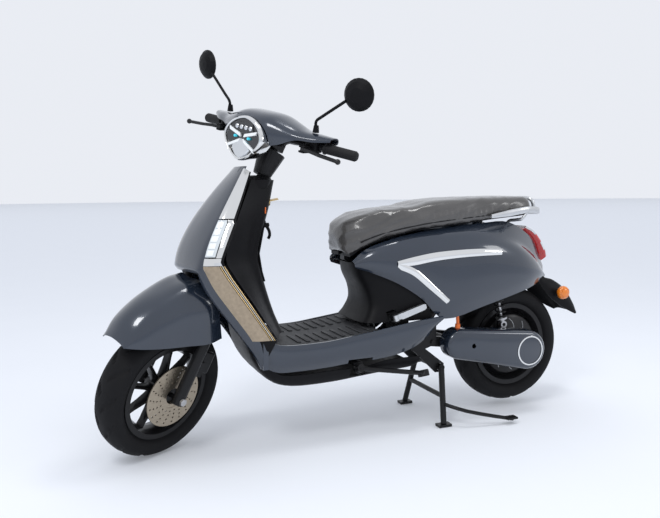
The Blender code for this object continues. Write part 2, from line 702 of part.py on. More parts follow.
# ---------------------------------------------------------------- front fender
FENDER_ROWS = (  # per station from the tip backwards: ridge X Z, shoulder Y Z, side Y Z, hem Y Z and hem X
    ((1.572, 0.462), (0.030, 0.458), (0.046, 0.452), (0.052, 0.446), 1.568),
    ((1.535, 0.516), (0.050, 0.500), (0.073, 0.468), (0.080, 0.440), 1.520),
    ((1.475, 0.556), (0.058, 0.540), (0.088, 0.490), (0.097, 0.430), 1.450),
    ((1.405, 0.583), (0.060, 0.572), (0.098, 0.515), (0.112, 0.422), 1.370),
    ((1.345, 0.600), (0.060, 0.592), (0.113, 0.530), (0.1300, 0.418), 1.300),
    ((1.290, 0.604), (0.058, 0.598), (0.112, 0.545), (0.1300, 0.424), 1.245),
)
fender_rows = []
for (rx, rz), (sy, sz), (wy, wz), (hy, hz), hx in FENDER_ROWS:
    half = [(rx, 0, rz), (rx - 0.25 * (rx - hx), sy, sz), (rx - 0.6 * (rx - hx), wy, wz), (hx, hy, hz)]
    fender_rows.append(both_sides(half))
fender = shell("fender", net(fender_rows, per_row=2, per_column=2), WALL, flip=True)
finish(fender, "front_fender", PAINT, STEER)

# ---------------------------------------------------------------- frame
RAIL_Y = 0.100
STAY_Y = 0.130


def rail(name, points, radius=FRAME_TUBE, per_span=2):
    return tube(name, points, radius, 2, per_span=per_span)


tubes = [cylinder("head_tube", steer_point(0.640), steer_point(0.862), HEAD_TUBE, 20)]
tubes.append(rail("down_tube", [(1.085, 0, 0.705), (1.058, 0, 0.560), (1.040, 0, 0.430), (0.985, 0, 0.335), (0.930, 0, 0.316)], DOWN_TUBE))
for side in (1, -1):
    tubes.append(rail("floor_rail", [(0.935, side * 0.02, 0.316), (0.880, side * RAIL_Y, 0.316), (0.700, side * RAIL_Y, 0.316), (0.515, side * RAIL_Y, 0.318), (0.445, side * 0.118, 0.372), (0.365, side * STAY_Y, 0.480), (0.285, side * STAY_Y, 0.590), (0.245, side * 0.128, 0.648)]))
    tubes.append(rail("seat_rail", [(0.540, side * 0.095, 0.312), (0.592, side * 0.080, 0.480), (0.612, side * 0.075, 0.575), (0.540, side * 0.105, 0.622), (0.300, side * 0.124, 0.650), (0.140, side * 0.118, 0.662), (0.020, side * 0.090, 0.672)]))
    pivot_plate = plate(
        "pivot_plate", [(-0.055, -0.012), (-0.055, 0.055), (0.020, 0.075), (0.070, 0.020), (0.045, -0.030), (0.000, -0.030)],
        0.008,
        Matrix.Translation(Vector((SWING_PIVOT[0] + 0.040, side * 0.1065, SWING_PIVOT[1] + 0.004)))
        @ Matrix.Rotation(math.radians(90), 4, "X"),
    )
    tubes.append(pivot_plate)
cross = [(0.860, 0.316), (0.560, 0.316)]
for x, z in cross:
    tubes.append(cylinder("cross", Vector((x, RAIL_Y, z)), Vector((x, -RAIL_Y, z)), FRAME_TUBE * 0.9, 12))
tubes.append(cylinder("seat_cross", Vector((0.612, 0.080, 0.578)), Vector((0.612, -0.080, 0.578)), FRAME_TUBE * 0.9, 12))
tubes.append(cylinder("tail_cross", Vector((0.060, 0.100, 0.669)), Vector((0.060, -0.100, 0.669)), FRAME_TUBE * 0.85, 12))
tubes.append(cylinder("pivot_bolt", Vector((SWING_PIVOT[0], 0.116, SWING_PIVOT[1])), Vector((SWING_PIVOT[0], -0.116, SWING_PIVOT[1])), 0.0085, 16))
STAND_EAR_Y = 0.080
for side in (1, -1):
    tubes.append(plate(
        "stand_ear", [(-0.018, -0.020), (0.018, -0.020), (0.110, 0.070), (0.110, 0.098), (0.092, 0.098), (-0.018, 0.012)],
        0.007,
        Matrix.Translation(Vector((STAND_PIVOT[0], side * STAND_EAR_Y, STAND_PIVOT[1]))) @ Matrix.Rotation(math.radians(90), 4, "X"),
    ))
tubes.append(cylinder("stand_cross", Vector((0.452, 0.108, 0.299)), Vector((0.452, -0.108, 0.299)), FRAME_TUBE * 0.8, 12))

# footrest arms: an arm from the seat rail, two ears and a pin for the footrest's eye
PEG_PIVOT = Vector((0.578, 0.170, 0.424))
PEG_DIR = Vector((-0.957, 0, 0.290)).normalized()
PEG_AXIS = Vector((PEG_DIR.z, 0, -PEG_DIR.x)).normalized()
PEG_EYE_HALF = 0.011
PEG_TILT = Matrix.Rotation(math.atan2(PEG_AXIS.x, PEG_AXIS.z), 4, "Y")
for side in (1, -1):
    pivot = side_of(PEG_PIVOT, side)
    tubes.append(block("peg_arm", (PEG_PIVOT.x - 0.002, side * 0.110, PEG_PIVOT.z), (0.024, 0.066, 0.030), PEG_TILT))
    for level in (1, -1):
        tubes.append(block(
            "peg_ear", pivot + PEG_AXIS * level * (PEG_EYE_HALF + 0.0025) - Vector((0, side * 0.018, 0)),
            (0.018, 0.052, 0.004), PEG_TILT,
        ))
    tubes.append(cylinder("peg_pin", pivot - PEG_AXIS * 0.014, pivot + PEG_AXIS * 0.014, 0.0045, 12))

# side stand bracket with its pin
PROP_PIVOT = Vector((0.712, 0.163, 0.256))
PROP_FOLDED = Vector((-0.984, 0, -0.174)).normalized()
PROP_DOWN = Vector((0.24, 0.33, -0.913)).normalized()
PROP_AXIS = PROP_FOLDED.cross(PROP_DOWN).normalized()
PROP_ANGLE = PROP_FOLDED.angle(PROP_DOWN)
tubes.append(block("prop_drop", (0.712, 0.100, 0.290), (0.028, 0.016, 0.052)))
tubes.append(block("prop_arm", (0.712, 0.121, 0.2680), (0.034, 0.052, 0.012)))
tubes.append(cylinder("prop_lug", PROP_PIVOT + PROP_AXIS * 0.010, PROP_PIVOT + PROP_AXIS * 0.024, 0.016, 14))
tubes.append(cylinder("prop_pin", PROP_PIVOT - PROP_AXIS * 0.010, PROP_PIVOT + PROP_AXIS * 0.018, 0.0055, 12))

# seat hinge post
tubes.append(block("hinge_post", (0.655, 0, 0.603), (0.100, 0.031, 0.010), Matrix.Rotation(math.radians(-22), 4, "Y")))
tubes.append(block("hinge_lug", (SEAT_PIVOT.x, 0, SEAT_PIVOT.z - 0.009), (0.018, 0.036, 0.022)))
for side in (1, -1):
    tubes.append(cylinder(
        "shock_pin", Vector((SHOCK_TOP[0], side * 0.124, SHOCK_TOP[1])), Vector((SHOCK_TOP[0], side * 0.070, SHOCK_TOP[1])), 0.0055, 12,
    ))
    tubes.append(block("shock_tab", (SHOCK_TOP[0], side * 0.120, SHOCK_TOP[1] + 0.027), (0.026, 0.007, 0.080)))
main_frame = union(tubes[0], *tubes[1:])
frame_cuts = [cylinder("head_bore", steer_point(0.600), steer_point(0.900), STEERER + 0.002, 20)]
frame_cuts.append(cylinder("stand_bore", Vector((STAND_PIVOT[0], 0.12, STAND_PIVOT[1])), Vector((STAND_PIVOT[0], -0.12, STAND_PIVOT[1])), STAND_TUBE + 0.001, 20))
frame_cuts.append(cylinder("hinge_bore", SEAT_PIVOT - Vector((0, 0.03, 0)), SEAT_PIVOT + Vector((0, 0.03, 0)), 0.0047, 12))
main_frame = cut(main_frame, *frame_cuts)
finish(main_frame, "main_frame", STEEL, ROOT)

# ---------------------------------------------------------------- leg shield
SHIELD_LEVELS = (  # Z, then X and Y of six points from the middle to the outer edge
    (0.950, (1.098, 0), (1.096, 0.022), (1.092, 0.045), (1.088, 0.062), (1.084, 0.072), (1.080, 0.080)),
    (0.870, (1.172, 0), (1.166, 0.038), (1.156, 0.074), (1.145, 0.100), (1.137, 0.113), (1.129, 0.123)),
    (0.780, (1.243, 0), (1.234, 0.050), (1.220, 0.097), (1.203, 0.136), (1.194, 0.152), (1.184, 0.163)),
    (0.700, (1.288, 0), (1.278, 0.056), (1.262, 0.110), (1.244, 0.156), (1.234, 0.172), (1.222, 0.184)),
    (0.640, (1.306, 0), (1.296, 0.058), (1.281, 0.114), (1.264, 0.164), (1.252, 0.181), (1.238, 0.193)),
    (0.616, (1.300, 0), (1.292, 0.058), (1.279, 0.114), (1.264, 0.167), (1.246, 0.184), (1.228, 0.197)),
    (0.560, (1.250, 0), (1.250, 0.058), (1.250, 0.114), (1.244, 0.168), (1.220, 0.186), (1.192, 0.199)),
    (0.480, (1.190, 0), (1.190, 0.058), (1.190, 0.114), (1.190, 0.169), (1.165, 0.187), (1.137, 0.200)),
    (0.400, (1.130, 0), (1.130, 0.058), (1.130, 0.114), (1.133, 0.169), (1.110, 0.187), (1.083, 0.199)),
    (0.340, (1.090, 0), (1.090, 0.058), (1.090, 0.114), (1.092, 0.168), (1.079, 0.186), (1.066, 0.195)),
    (0.292, (1.066, 0), (1.066, 0.058), (1.066, 0.114), (1.068, 0.164), (1.065, 0.172), (1.062, 0.180)),
)
LIP_LEVEL = 5
shield_rows = [both_sides([(x, y, level[0]) for x, y in level[1:]]) for level in SHIELD_LEVELS]


def not_wheel_arch(row, column):
    """The middle of the shield ends at the lip, and only its side walls go on down."""
    return row < LIP_LEVEL or not 2 <= column <= 7


leg_shield = shell("leg_shield", net(shield_rows), WALL, keep=not_wheel_arch)
finish(leg_shield, "leg_shield", PAINT, ROOT)

STRIP_FRONT = (  # X, Y, Z along the strip's front edge, from its top to its foot
    (1.078, 0.084, 0.940), (1.133, 0.128, 0.860), (1.176, 0.162, 0.783), (1.166, 0.178, 0.780), (1.196, 0.200, 0.690),
    (1.206, 0.204, 0.664), (1.232, 0.201, 0.652), (1.206, 0.203, 0.602), (1.138, 0.2045, 0.500), (1.066, 0.2025, 0.390),
)
STRIP_REAR = (
    (1.068, 0.092, 0.930), (1.108, 0.139, 0.846), (1.142, 0.172, 0.775), (1.140, 0.180, 0.768), (1.176, 0.203, 0.694),
    (1.189, 0.206, 0.664), (1.192, 0.206, 0.650), (1.162, 0.207, 0.598), (1.094, 0.208, 0.496), (1.024, 0.205, 0.388),
)
SIGNAL_FRONT = ((1.184, 0.169, 0.7710), (1.208, 0.184, 0.730), (1.226, 0.1955, 0.672))
SIGNAL_REAR = ((1.176, 0.182, 0.7650), (1.190, 0.196, 0.728), (1.210, 0.206, 0.668))
for side, word in ((1, "left"), (-1, "right")):
    strip = [[side_of(Vector(p), side) for p in row] for row in (STRIP_REAR, STRIP_FRONT)]
    made = shell("strip", strip, 0.004, flip=side > 0)
    finish(made, "shield_trim_" + word, CHROME, ROOT)
    lamp = [[side_of(Vector(p), side) for p in row] for row in (SIGNAL_REAR, SIGNAL_FRONT)]
    made = shell("lamp", lamp, 0.006, flip=side > 0)
    finish(made, "front_signal_" + word, CLEAR_LENS, ROOT)

INNER_LEVELS = (  # Z, then X and Y from the middle to the outer edge
    (0.905, (0.966, 0), (0.976, 0.038), (1.008, 0.058), (1.040, 0.070), (1.064, 0.082)),
    (0.810, (0.990, 0), (1.002, 0.056), (1.045, 0.088), (1.085, 0.120), (1.118, 0.148)),
    (0.740, (1.012, 0), (1.024, 0.063), (1.068, 0.098), (1.115, 0.145), (1.152, 0.178)),
    (0.660, (1.030, 0), (1.042, 0.067), (1.085, 0.104), (1.138, 0.158), (1.180, 0.194)),
    (0.600, (1.022, 0), (1.034, 0.070), (1.068, 0.107), (1.115, 0.162), (1.152, 0.197)),
    (0.520, (1.002, 0), (1.013, 0.072), (1.042, 0.109), (1.075, 0.162), (1.100, 0.198)),
    (0.450, (0.980, 0), (0.990, 0.074), (1.014, 0.111), (1.038, 0.162), (1.056, 0.196)),
    (0.392, (0.955, 0), (0.964, 0.076), (0.985, 0.113), (1.004, 0.160), (1.018, 0.192)),
)
inner_rows = [both_sides([(x, y, level[0]) for x, y in level[1:]]) for level in INNER_LEVELS]
inner_shield = shell("inner_shield", net(inner_rows), WALL, flip=True)
KEY_AT = Vector((0.994, 0.030, 0.835))
KEY_AXIS = Vector((-0.93, 0.18, 0.18)).normalized()
lock_hole = cylinder("lock_hole", KEY_AT - KEY_AXIS * 0.05, KEY_AT + KEY_AXIS * 0.05, 0.0115, 16)
inner_shield = cut(inner_shield, lock_hole)
finish(inner_shield, "inner_shield", BLACK, ROOT)

KEY_TURN = joint("key_turn", KEY_AT, KEY_AXIS, ROOT)
lock = cylinder("lock", KEY_AT - KEY_AXIS * 0.022, KEY_AT + KEY_AXIS * 0.007, 0.0105, 16)
bow_frame = Matrix.Translation(KEY_AT + KEY_AXIS * 0.020) @ turned_to(KEY_AXIS)
bow = block("bow", (0, 0, 0), (0.003, 0.022, 0.032), bow_frame, 0.001)
finish(union(lock, bow), "ignition_key", STEEL, KEY_TURN)



def inner_level(z):
    """The inner shield's half row at height z."""
    for upper, lower in zip(INNER_LEVELS, INNER_LEVELS[1:]):
        if upper[0] >= z >= lower[0]:
            share = (upper[0] - z) / (upper[0] - lower[0])
            return [(a[0] + (b[0] - a[0]) * share, a[1] + (b[1] - a[1]) * share) for a, b in zip(upper[1:], lower[1:])]
    return None


DOOR_TOP, DOOR_FOOT = 0.768, 0.566
DOOR_PROUD = 0.006
door_rows = []
for z in (DOOR_TOP, 0.740, 0.660, 0.600, DOOR_FOOT):
    share = 0.80 if z == DOOR_TOP else 0.97
    middle, edge = inner_level(z)[:2]
    x = middle[0] + (edge[0] - middle[0]) * share
    door_rows.append(both_sides([(middle[0] - DOOR_PROUD, 0, z), (x - DOOR_PROUD, edge[1] * share, z)]))
door = shell("door", door_rows, 0.0045, flip=True)
door_hinge_x = inner_level(DOOR_FOOT)[0][0] - DOOR_PROUD
DOOR_HINGE = joint("glovebox_door_hinge", (door_hinge_x, 0, DOOR_FOOT), (0, -1, 0), ROOT)
HOOK_AT = Vector((inner_level(0.752)[0][0] - DOOR_PROUD - 0.010, 0, 0.752))
ears = [block("ear", HOOK_AT + Vector((0.0045, y, 0)), (0.018, 0.006, 0.016)) for y in (-0.0165, 0.0165)]
hook_pin = cylinder("hook_pin", HOOK_AT - Vector((0, 0.018, 0)), HOOK_AT + Vector((0, 0.018, 0)), 0.0032, 12)
door = union(door, *ears, hook_pin)
finish(door, "glovebox_door", BLACK, DOOR_HINGE)

HOOK_FOLD = joint("bag_hook_fold", HOOK_AT, (0, 1, 0), DOOR_HINGE)
hook_route = [HOOK_AT + Vector(p) for p in
              ((-0.002, 0, -0.006), (-0.010, 0, -0.020), (-0.012, 0, -0.036), (-0.006, 0, -0.048))]
hook = union(
    cylinder("hook_barrel", HOOK_AT - Vector((0, 0.0128, 0)), HOOK_AT + Vector((0, 0.0128, 0)), 0.008, 14),
    tube("hook", hook_route, 0.0055, 3, per_span=2),
)
hook = cut(hook, cylinder("hook_bore", HOOK_AT - Vector((0, 0.03, 0)), HOOK_AT + Vector((0, 0.03, 0)), 0.0038, 12))
finish(hook, "bag_hook", BLACK, HOOK_FOLD)

# ---------------------------------------------------------------- floor, skirts and belly
FLOOR_HALF = 0.178
FLOOR_STATIONS = ((1.034, 0.379), (1.000, 0.370), (0.950, 0.365), (0.840, 0.366), (0.750, 0.374), (0.648, 0.388))
floor_rows = [both_sides([(x, 0, z), (x, FLOOR_HALF * 0.5, z), (x, FLOOR_HALF, z)]) for x, z in FLOOR_STATIONS]
floorboard = shell("floorboard", net(floor_rows), 0.008, flip=True)
floorboard = cut(floorboard, block("tube_room", (1.012, 0, 0.370), (0.096, 2 * DOWN_TUBE + 0.012, 0.080)))
finish(floorboard, "floorboard", FLOOR_MAT, ROOT)

SKIRT_TOP = ((1.056, 0.386), (1.010, 0.368), (0.950, 0.362), (0.840, 0.364), (0.745, 0.375), (0.650, 0.387), (0.556, 0.400), (0.480, 0.409), (0.398, 0.416))
SKIRT_HEM = ((1.050, 0.292), (1.005, 0.274), (0.920, 0.272), (0.830, 0.275), (0.765, 0.280), (0.620, 0.287), (0.523, 0.307), (0.463, 0.339), (0.400, 0.400))
SKIRT_FLANGE = 0.1815


def skirt_rows(side):
    top, hem = SKIRT_TOP, SKIRT_HEM
    rows = [
        [(x, 0.170, z) for x, z in hem],
        [(x * 0.72 + u * 0.28, 0.1845, z * 0.72 + w * 0.28) for (x, z), (u, w) in zip(hem, top)],
        [(x * 0.35 + u * 0.65, 0.1935, z * 0.35 + w * 0.65) for (x, z), (u, w) in zip(hem, top)],
        [(x, 0.1905, z) for x, z in top],
        [(x, SKIRT_FLANGE, z + 0.003) for x, z in top],
    ]
    return [[side_of(Vector(p), side) for p in row] for row in rows]


for side, word in ((1, "left"), (-1, "right")):
    skirt = shell("skirt", net(skirt_rows(side)), WALL, flip=side < 0)
    notch = block("notch", (0.716, side * 0.18, 0.268), (0.092, 0.06, 0.052))
    skirt = cut(skirt, notch)
    finish(skirt, "side_skirt_" + word, PAINT, ROOT)

BELLY_STATIONS = (  # X and Z of the base line, the way in, and how deep the edges stand
    ((1.113, 0.520), (-1.0, 0.10), 0.030), ((1.112, 0.420), (-1.0, 0.15), 0.032), ((1.088, 0.315), (-0.85, 0.5), 0.034),
    ((1.030, 0.238), (-0.5, 0.85), 0.036), ((0.950, 0.208), (-0.1, 1.0), 0.046), ((0.812, 0.206), (0, 1.0), 0.050),
    ((0.693, 0.215), (0, 1.0), 0.042), ((0.600, 0.222), (0, 1.0), 0.050), ((0.500, 0.228), (0, 1.0), 0.046),
    ((0.472, 0.238), (0, 1.0), 0.036),
)
belly_rows = []
for (x, z), way, depth in BELLY_STATIONS:
    way = Vector((way[0], 0, way[1])).normalized()
    base = Vector((x, 0, z))
    half = [base, base + Vector((0, 0.070, 0)), base + Vector((0, 0.126, 0)) + way * 0.004,
            base + Vector((0, 0.146, 0)) + way * depth * 0.55, base + Vector((0, 0.152, 0)) + way * depth]
    belly_rows.append(both_sides([tuple(p) for p in half]))
belly = shell("belly", net(belly_rows), WALL)
belly = cut(belly, block("prop_room", (0.712, 0.150, 0.262), (0.064, 0.060, 0.076)))
finish(belly, "belly_pan", BLACK, ROOT)

battery = block("battery", (0.410, 0, 0.520), (0.200, 0.190, 0.200), bevel=0.008)
handle_mid = (0.410, 0, 0.634)
handle = block("handle", handle_mid, (0.110, 0.020, 0.040), bevel=0.004)
battery = union(battery, handle)
battery = cut(battery, block("handle_gap", (0.410, 0, 0.630), (0.086, 0.04, 0.022)))
finish(battery, "battery_pack", CASE, ROOT)

# ---------------------------------------------------------------- body under the seat
COVER_LEVELS = (  # Z, then X and Y from the middle round to the rear edge
    (0.612, (0.700, 0), (0.697, 0.050), (0.680, 0.088), (0.655, 0.104), (0.640, 0.109)),
    (0.570, (0.690, 0), (0.686, 0.060), (0.668, 0.096), (0.620, 0.124), (0.580, 0.134)),
    (0.520, (0.664, 0), (0.660, 0.068), (0.642, 0.104), (0.580, 0.134), (0.510, 0.147)),
    (0.470, (0.654, 0), (0.650, 0.076), (0.632, 0.114), (0.560, 0.142), (0.460, 0.152)),
    (0.430, (0.668, 0), (0.664, 0.084), (0.646, 0.124), (0.560, 0.146), (0.430, 0.153)),
    (0.405, (0.690, 0), (0.684, 0.092), (0.660, 0.132), (0.570, 0.148), (0.430, 0.154)),
)
cover_rows = [both_sides([(x, y, level[0]) for x, y in level[1:]]) for level in COVER_LEVELS]
seat_front = shell("seat_front_cover", net(cover_rows), WALL)
peg_rooms = [
    block("peg_room", side_of(PEG_PIVOT, side) - Vector((0, side * 0.02, 0)), (0.034, 0.060, 0.044), PEG_TILT)
    for side in (1, -1)
]
seat_front = cut(seat_front, *peg_rooms)
finish(seat_front, "seat_front_cover", BLACK, ROOT)

PANEL_HEM = ((0.708, 0.600), (0.640, 0.576), (0.556, 0.538), (0.470, 0.482), (0.378, 0.404), (0.206, 0.440), (0.021, 0.484), (-0.066, 0.507), (-0.118, 0.520))
PANEL_RIDGE = ((0.713, 0.618), (0.655, 0.660), (0.570, 0.686), (0.475, 0.702), (0.338, 0.711), (0.200, 0.706), (0.070, 0.678), (-0.040, 0.622), (-0.128, 0.534))
PANEL_TOP = ((0.716, 0.622), (0.668, 0.6635), (0.578, 0.694), (0.475, 0.715), (0.338, 0.731), (0.200, 0.743), (0.062, 0.742), (-0.072, 0.672), (-0.148, 0.560))
PANEL_Y = (  # hem, lower, middle, upper, ridge, top
    (0.112, 0.138, 0.153, 0.161, 0.166, 0.166, 0.152, 0.122, 0.086),
    (0.115, 0.148, 0.167, 0.178, 0.185, 0.185, 0.168, 0.134, 0.092),
    (0.117, 0.151, 0.171, 0.184, 0.191, 0.191, 0.172, 0.136, 0.092),
    (0.116, 0.146, 0.165, 0.177, 0.184, 0.183, 0.162, 0.126, 0.086),
    (0.112, 0.134, 0.150, 0.158, 0.161, 0.157, 0.138, 0.104, 0.072),
    (0.104, 0.118, 0.124, 0.127, 0.128, 0.124, 0.104, 0.070, 0.046),
)
PANEL_SHARES = (0.0, 0.22, 0.50, 0.80, 1.0)


def panel_rows(side):
    rows = []
    for share, widths in zip(PANEL_SHARES, PANEL_Y):
        row = [
            (hx + (rx - hx) * share, y, hz + (rz - hz) * share)
            for (hx, hz), (rx, rz), y in zip(PANEL_HEM, PANEL_RIDGE, widths)
        ]
        rows.append(row)
    rows.append([(x, y, z) for (x, z), y in zip(PANEL_TOP, PANEL_Y[5])])
    return [[side_of(Vector(p), side) for p in row] for row in rows]


HEM_CORNER = 4
RIDGE_ROW = 4
TRIM_UPPER = ((0.150, 0.638, 0.010), (0.235, 0.641, 0.0125), (0.330, 0.6395, 0.0135), (0.430, 0.633, 0.0145), (0.510, 0.621, 0.0145), (0.572, 0.612, 0.0100))
TRIM_LOWER = ((0.552, 0.601, 0.0095), (0.505, 0.577, 0.0085), (0.440, 0.522, 0.0075), (0.378, 0.469, 0.0065))
trim_rings = []
for side, word in ((1, "left"), (-1, "right")):
    grid = net(panel_rows(side), per_column=2, row_corners=(RIDGE_ROW,))
    panel = shell("panel", grid, WALL, flip=side < 0)
    finish(panel, "rear_panel_" + word, PAINT, ROOT)
    bpy.context.view_layer.update()
    if side > 0:
        tree = BVHTree.FromObject(panel, bpy.context.evaluated_depsgraph_get())
        into_panel = panel.matrix_world.inverted()
        for leg in (TRIM_UPPER, TRIM_LOWER):
            for x, z, half in spline([Vector(p) for p in leg], 2):
                ring = []
                for up, lift in ((-1, 0.0014), (-1, 0.0034), (0.1, 0.0062), (1, 0.0034), (1, 0.0014), (0.4, 0.0014),
                                 (-0.4, 0.0014)):
                    lean = 0.0 if leg is TRIM_UPPER else -0.9 * up * half
                    start = into_panel @ Vector((x + lean, 0.4, z + up * half))
                    spot, _, _, _ = tree.ray_cast(start, Vector((0, -1, 0)))
                    ring.append(panel.matrix_world @ (spot + Vector((0, lift, 0))))
                trim_rings.append(ring)
    rings = [[side_of(point, side) for point in ring][::side] for ring in trim_rings]
    finish(lofted("trim", rings), "panel_trim_" + word, CHROME, ROOT)

# ---------------------------------------------------------------- tail
TAIL_STATIONS = (  # outer face X and Z, half width
    ((-0.060, 0.722), 0.058), ((-0.088, 0.704), 0.068), ((-0.122, 0.668), 0.066), ((-0.150, 0.630), 0.060),
    ((-0.166, 0.600), 0.050),
)
TAIL_IN = Vector((0.75, 0, -0.66)).normalized()
rings = []
for (x, z), half in TAIL_STATIONS:
    face = Vector((x, 0, z))
    row = [face + Vector((0, half * 0.8, 0)), face + TAIL_IN * 0.010 + Vector((0, half, 0)),
           face + TAIL_IN * 0.022 + Vector((0, half * 0.9, 0)), face + TAIL_IN * 0.040 + Vector((0, 0.036, 0))]
    rings.append(row + [side_of(p, -1) for p in reversed(row)])
finish(lofted("tail", rings), "tail_light", RED_LENS, ROOT)

MUDGUARD_STATIONS = (  # ridge X and Z, top half width, side half width, hem X and Z
    (-0.126, 0.590, 0.034, 0.039, -0.112, 0.584), (-0.142, 0.548, 0.034, 0.040, -0.120, 0.540),
    (-0.162, 0.512, 0.040, 0.050, -0.132, 0.492), (-0.205, 0.496, 0.048, 0.066, -0.165, 0.440),
    (-0.262, 0.455, 0.050, 0.068, -0.222, 0.395), (-0.300, 0.400, 0.050, 0.068, -0.272, 0.368),
    (-0.317, 0.362, 0.048, 0.064, -0.303, 0.354),
)
mudguard_rows = []
for rx, rz, top, wide, hx, hz in MUDGUARD_STATIONS:
    mid = ((rx + hx) / 2, wide, (rz + hz) / 2)
    mudguard_rows.append(both_sides([(rx, 0, rz), (rx, top, rz), mid, (hx, wide, hz)]))
finish(shell("mudguard", net(mudguard_rows), WALL, flip=True), "rear_mudguard", BLACK, ROOT)

SIGNAL_FOOT = 0.0683
SIGNAL_PROFILE = (
    (0, SIGNAL_FOOT), (0.009, SIGNAL_FOOT), (0.009, 0.084), (0.023, 0.086), (0.0265, 0.091), (0.0265, 0.099),
    (0.023, 0.106), (0.013, 0.1115), (0, 0.113),
)
for side, word in ((1, "left"), (-1, "right")):
    lamp = along_y(turned("lamp", SIGNAL_PROFILE, 24, closed=False), (-0.2125, 0, 0.452), flip=side < 0)
    finish(lamp, "rear_signal_" + word, AMBER, ROOT)

RAIL_ROUTE = ((0.182, 0.160, 0.768), (0.100, 0.160, 0.779), (0.030, 0.158, 0.789), (-0.025, 0.142, 0.789),
              (-0.070, 0.108, 0.783), (-0.094, 0.060, 0.780), (-0.100, 0, 0.779))
rail_route = spline([Vector(p) for p in both_sides(RAIL_ROUTE[::-1])], 2)
rings = []
for i, place in enumerate(rail_route):
    way = rail_route[min(i + 1, len(rail_route) - 1)] - rail_route[max(i - 1, 0)]
    out = Vector((way.y, -way.x, 0)).normalized()
    edge = i in (0, len(rail_route) - 1)
    thick, tall = (0.004, 0.007) if edge else (0.006, 0.012)
    up = Vector((0, 0, 1))
    rings.append([place + out * thick * a + up * tall * b for a, b in
                  ((-1, -0.7), (-0.6, -1), (0.6, -1), (1, -0.7), (1, 0.7), (0.6, 1), (-0.6, 1), (-1, 0.7))])
grab = [lofted("arms", rings)]
hoop = [(-0.090, 0.056, 0.782), (-0.086, 0.056, 0.812), (-0.076, 0.046, 0.829), (-0.072, 0, 0.832)]
grab.append(tube("hoop", both_sides(hoop[::-1]), 0.0075, 2, per_span=3))
for side in (1, -1):
    leg = [(0.018, 0.157, 0.783), (0.036, 0.150, 0.757), (0.046, 0.124, 0.751), (0.054, 0.092, 0.745),
           (0.060, 0.080, 0.716), (0.060, 0.078, 0.6815)]
    grab.append(tube("leg", [side_of(Vector(p), side) for p in leg], 0.006, 2, per_span=2))
finish(union(grab[0], *grab[1:]), "grab_rail", SILVER, ROOT)

# ---------------------------------------------------------------- seat
SEAT_STATIONS = (  # X, bottom Z, top Z, half width
    (0.7445, 0.664, 0.757, 0.062), (0.734, 0.636, 0.776, 0.094), (0.716, 0.636, 0.781, 0.104),
    (0.680, 0.662, 0.784, 0.114), (0.640, 0.680, 0.793, 0.122), (0.580, 0.700, 0.803, 0.130),
    (0.475, 0.722, 0.812, 0.140), (0.400, 0.731, 0.828, 0.146), (0.300, 0.741, 0.837, 0.149),
    (0.140, 0.757, 0.841, 0.147), (0.020, 0.766, 0.841, 0.138), (-0.020, 0.770, 0.836, 0.122),
    (-0.034, 0.780, 0.822, 0.092),
)
PAN_DEEP = 0.012
PAN_SHARE = 0.84
cushion_rings = []
pan_rings = []
for x, low, top, half in SEAT_STATIONS:
    tall = top - low
    row = [(0.0, low + PAN_DEEP + GAP), (PAN_SHARE + 0.01, low + PAN_DEEP + GAP), (PAN_SHARE + 0.03, low),
           (0.96, low + 0.001), (1.0, low + tall * 0.25), (0.985, low + tall * 0.68), (0.88, top - tall * 0.085),
           (0.55, top - 0.001), (0.0, top)]
    side_row = [Vector((x, half * share, z)) for share, z in row]
    cushion_rings.append(side_row + [side_of(p, -1) for p in reversed(side_row[1:-1])])
    if -0.025 < x < 0.72:
        y = half * PAN_SHARE
        pan_rings.append([Vector((x, y, low)), Vector((x, y, low + PAN_DEEP)), Vector((x, -y, low + PAN_DEEP)),
                          Vector((x, -y, low))])
finish(lofted("cushion", cushion_rings), "seat_cushion", SEAT_FILM, SEAT)
pan = cut(lofted("pan", pan_rings), block("hinge_room", (0.705, 0, 0.65), (0.060, 0.0400, 0.08)))
hinge_ears = [block("ear", (0.7005, side * 0.0235, 0.6435), (0.019, 0.0064, 0.017)) for side in (1, -1)]
seat_pin = cylinder("seat_pin", SEAT_PIVOT - Vector((0, 0.026, 0)), SEAT_PIVOT + Vector((0, 0.026, 0)), 0.004, 12)
finish(union(pan, *hinge_ears, seat_pin), "seat_base", BLACK, SEAT)

# ---------------------------------------------------------------- swingarm, shocks
swing_pivot = Vector((SWING_PIVOT[0], 0, SWING_PIVOT[1]))
ARM_HALF = 0.011
arms = []
for side in (1, -1):
    rings = []
    for share, tall in ((0.0, 0.019), (0.12, 0.019), (0.85, 0.014), (1.0, 0.017), (1.06, 0.008)):
        middle = swing_pivot.lerp(REAR_AXLE, share) + Vector((0, side * SWING_ARM_Y, 0))
        rings.append([middle + Vector((0, a * ARM_HALF, b * tall)) for a, b in ((1, 1), (-1, 1), (-1, -1), (1, -1))])
    arms.append(lofted("arm", rings))
    low = Vector((SHOCK_LOW[0], 0, SHOCK_LOW[1]))
    arms.append(block("shock_foot", (SHOCK_LOW[0], side * 0.0720, 0.2720), (0.034, 0.0160, 0.018)))
    arms.append(block("shock_lug", (SHOCK_LOW[0], side * 0.0670, 0.3080), (0.024, 0.0060, 0.094)))
    arms.append(cylinder("shock_stud", low + Vector((0, side * 0.0650, 0)), low + Vector((0, side * 0.0985, 0)), 0.0055, 12))
pivot_tube = cylinder("pivot_tube", swing_pivot + Vector((0, 0.0955, 0)), swing_pivot - Vector((0, 0.0955, 0)), 0.020, 20)
brace_at = swing_pivot.lerp(REAR_AXLE, 0.28)
brace = cylinder("brace", brace_at + Vector((0, 0.085, 0)), brace_at - Vector((0, 0.085, 0)), 0.013, 14)
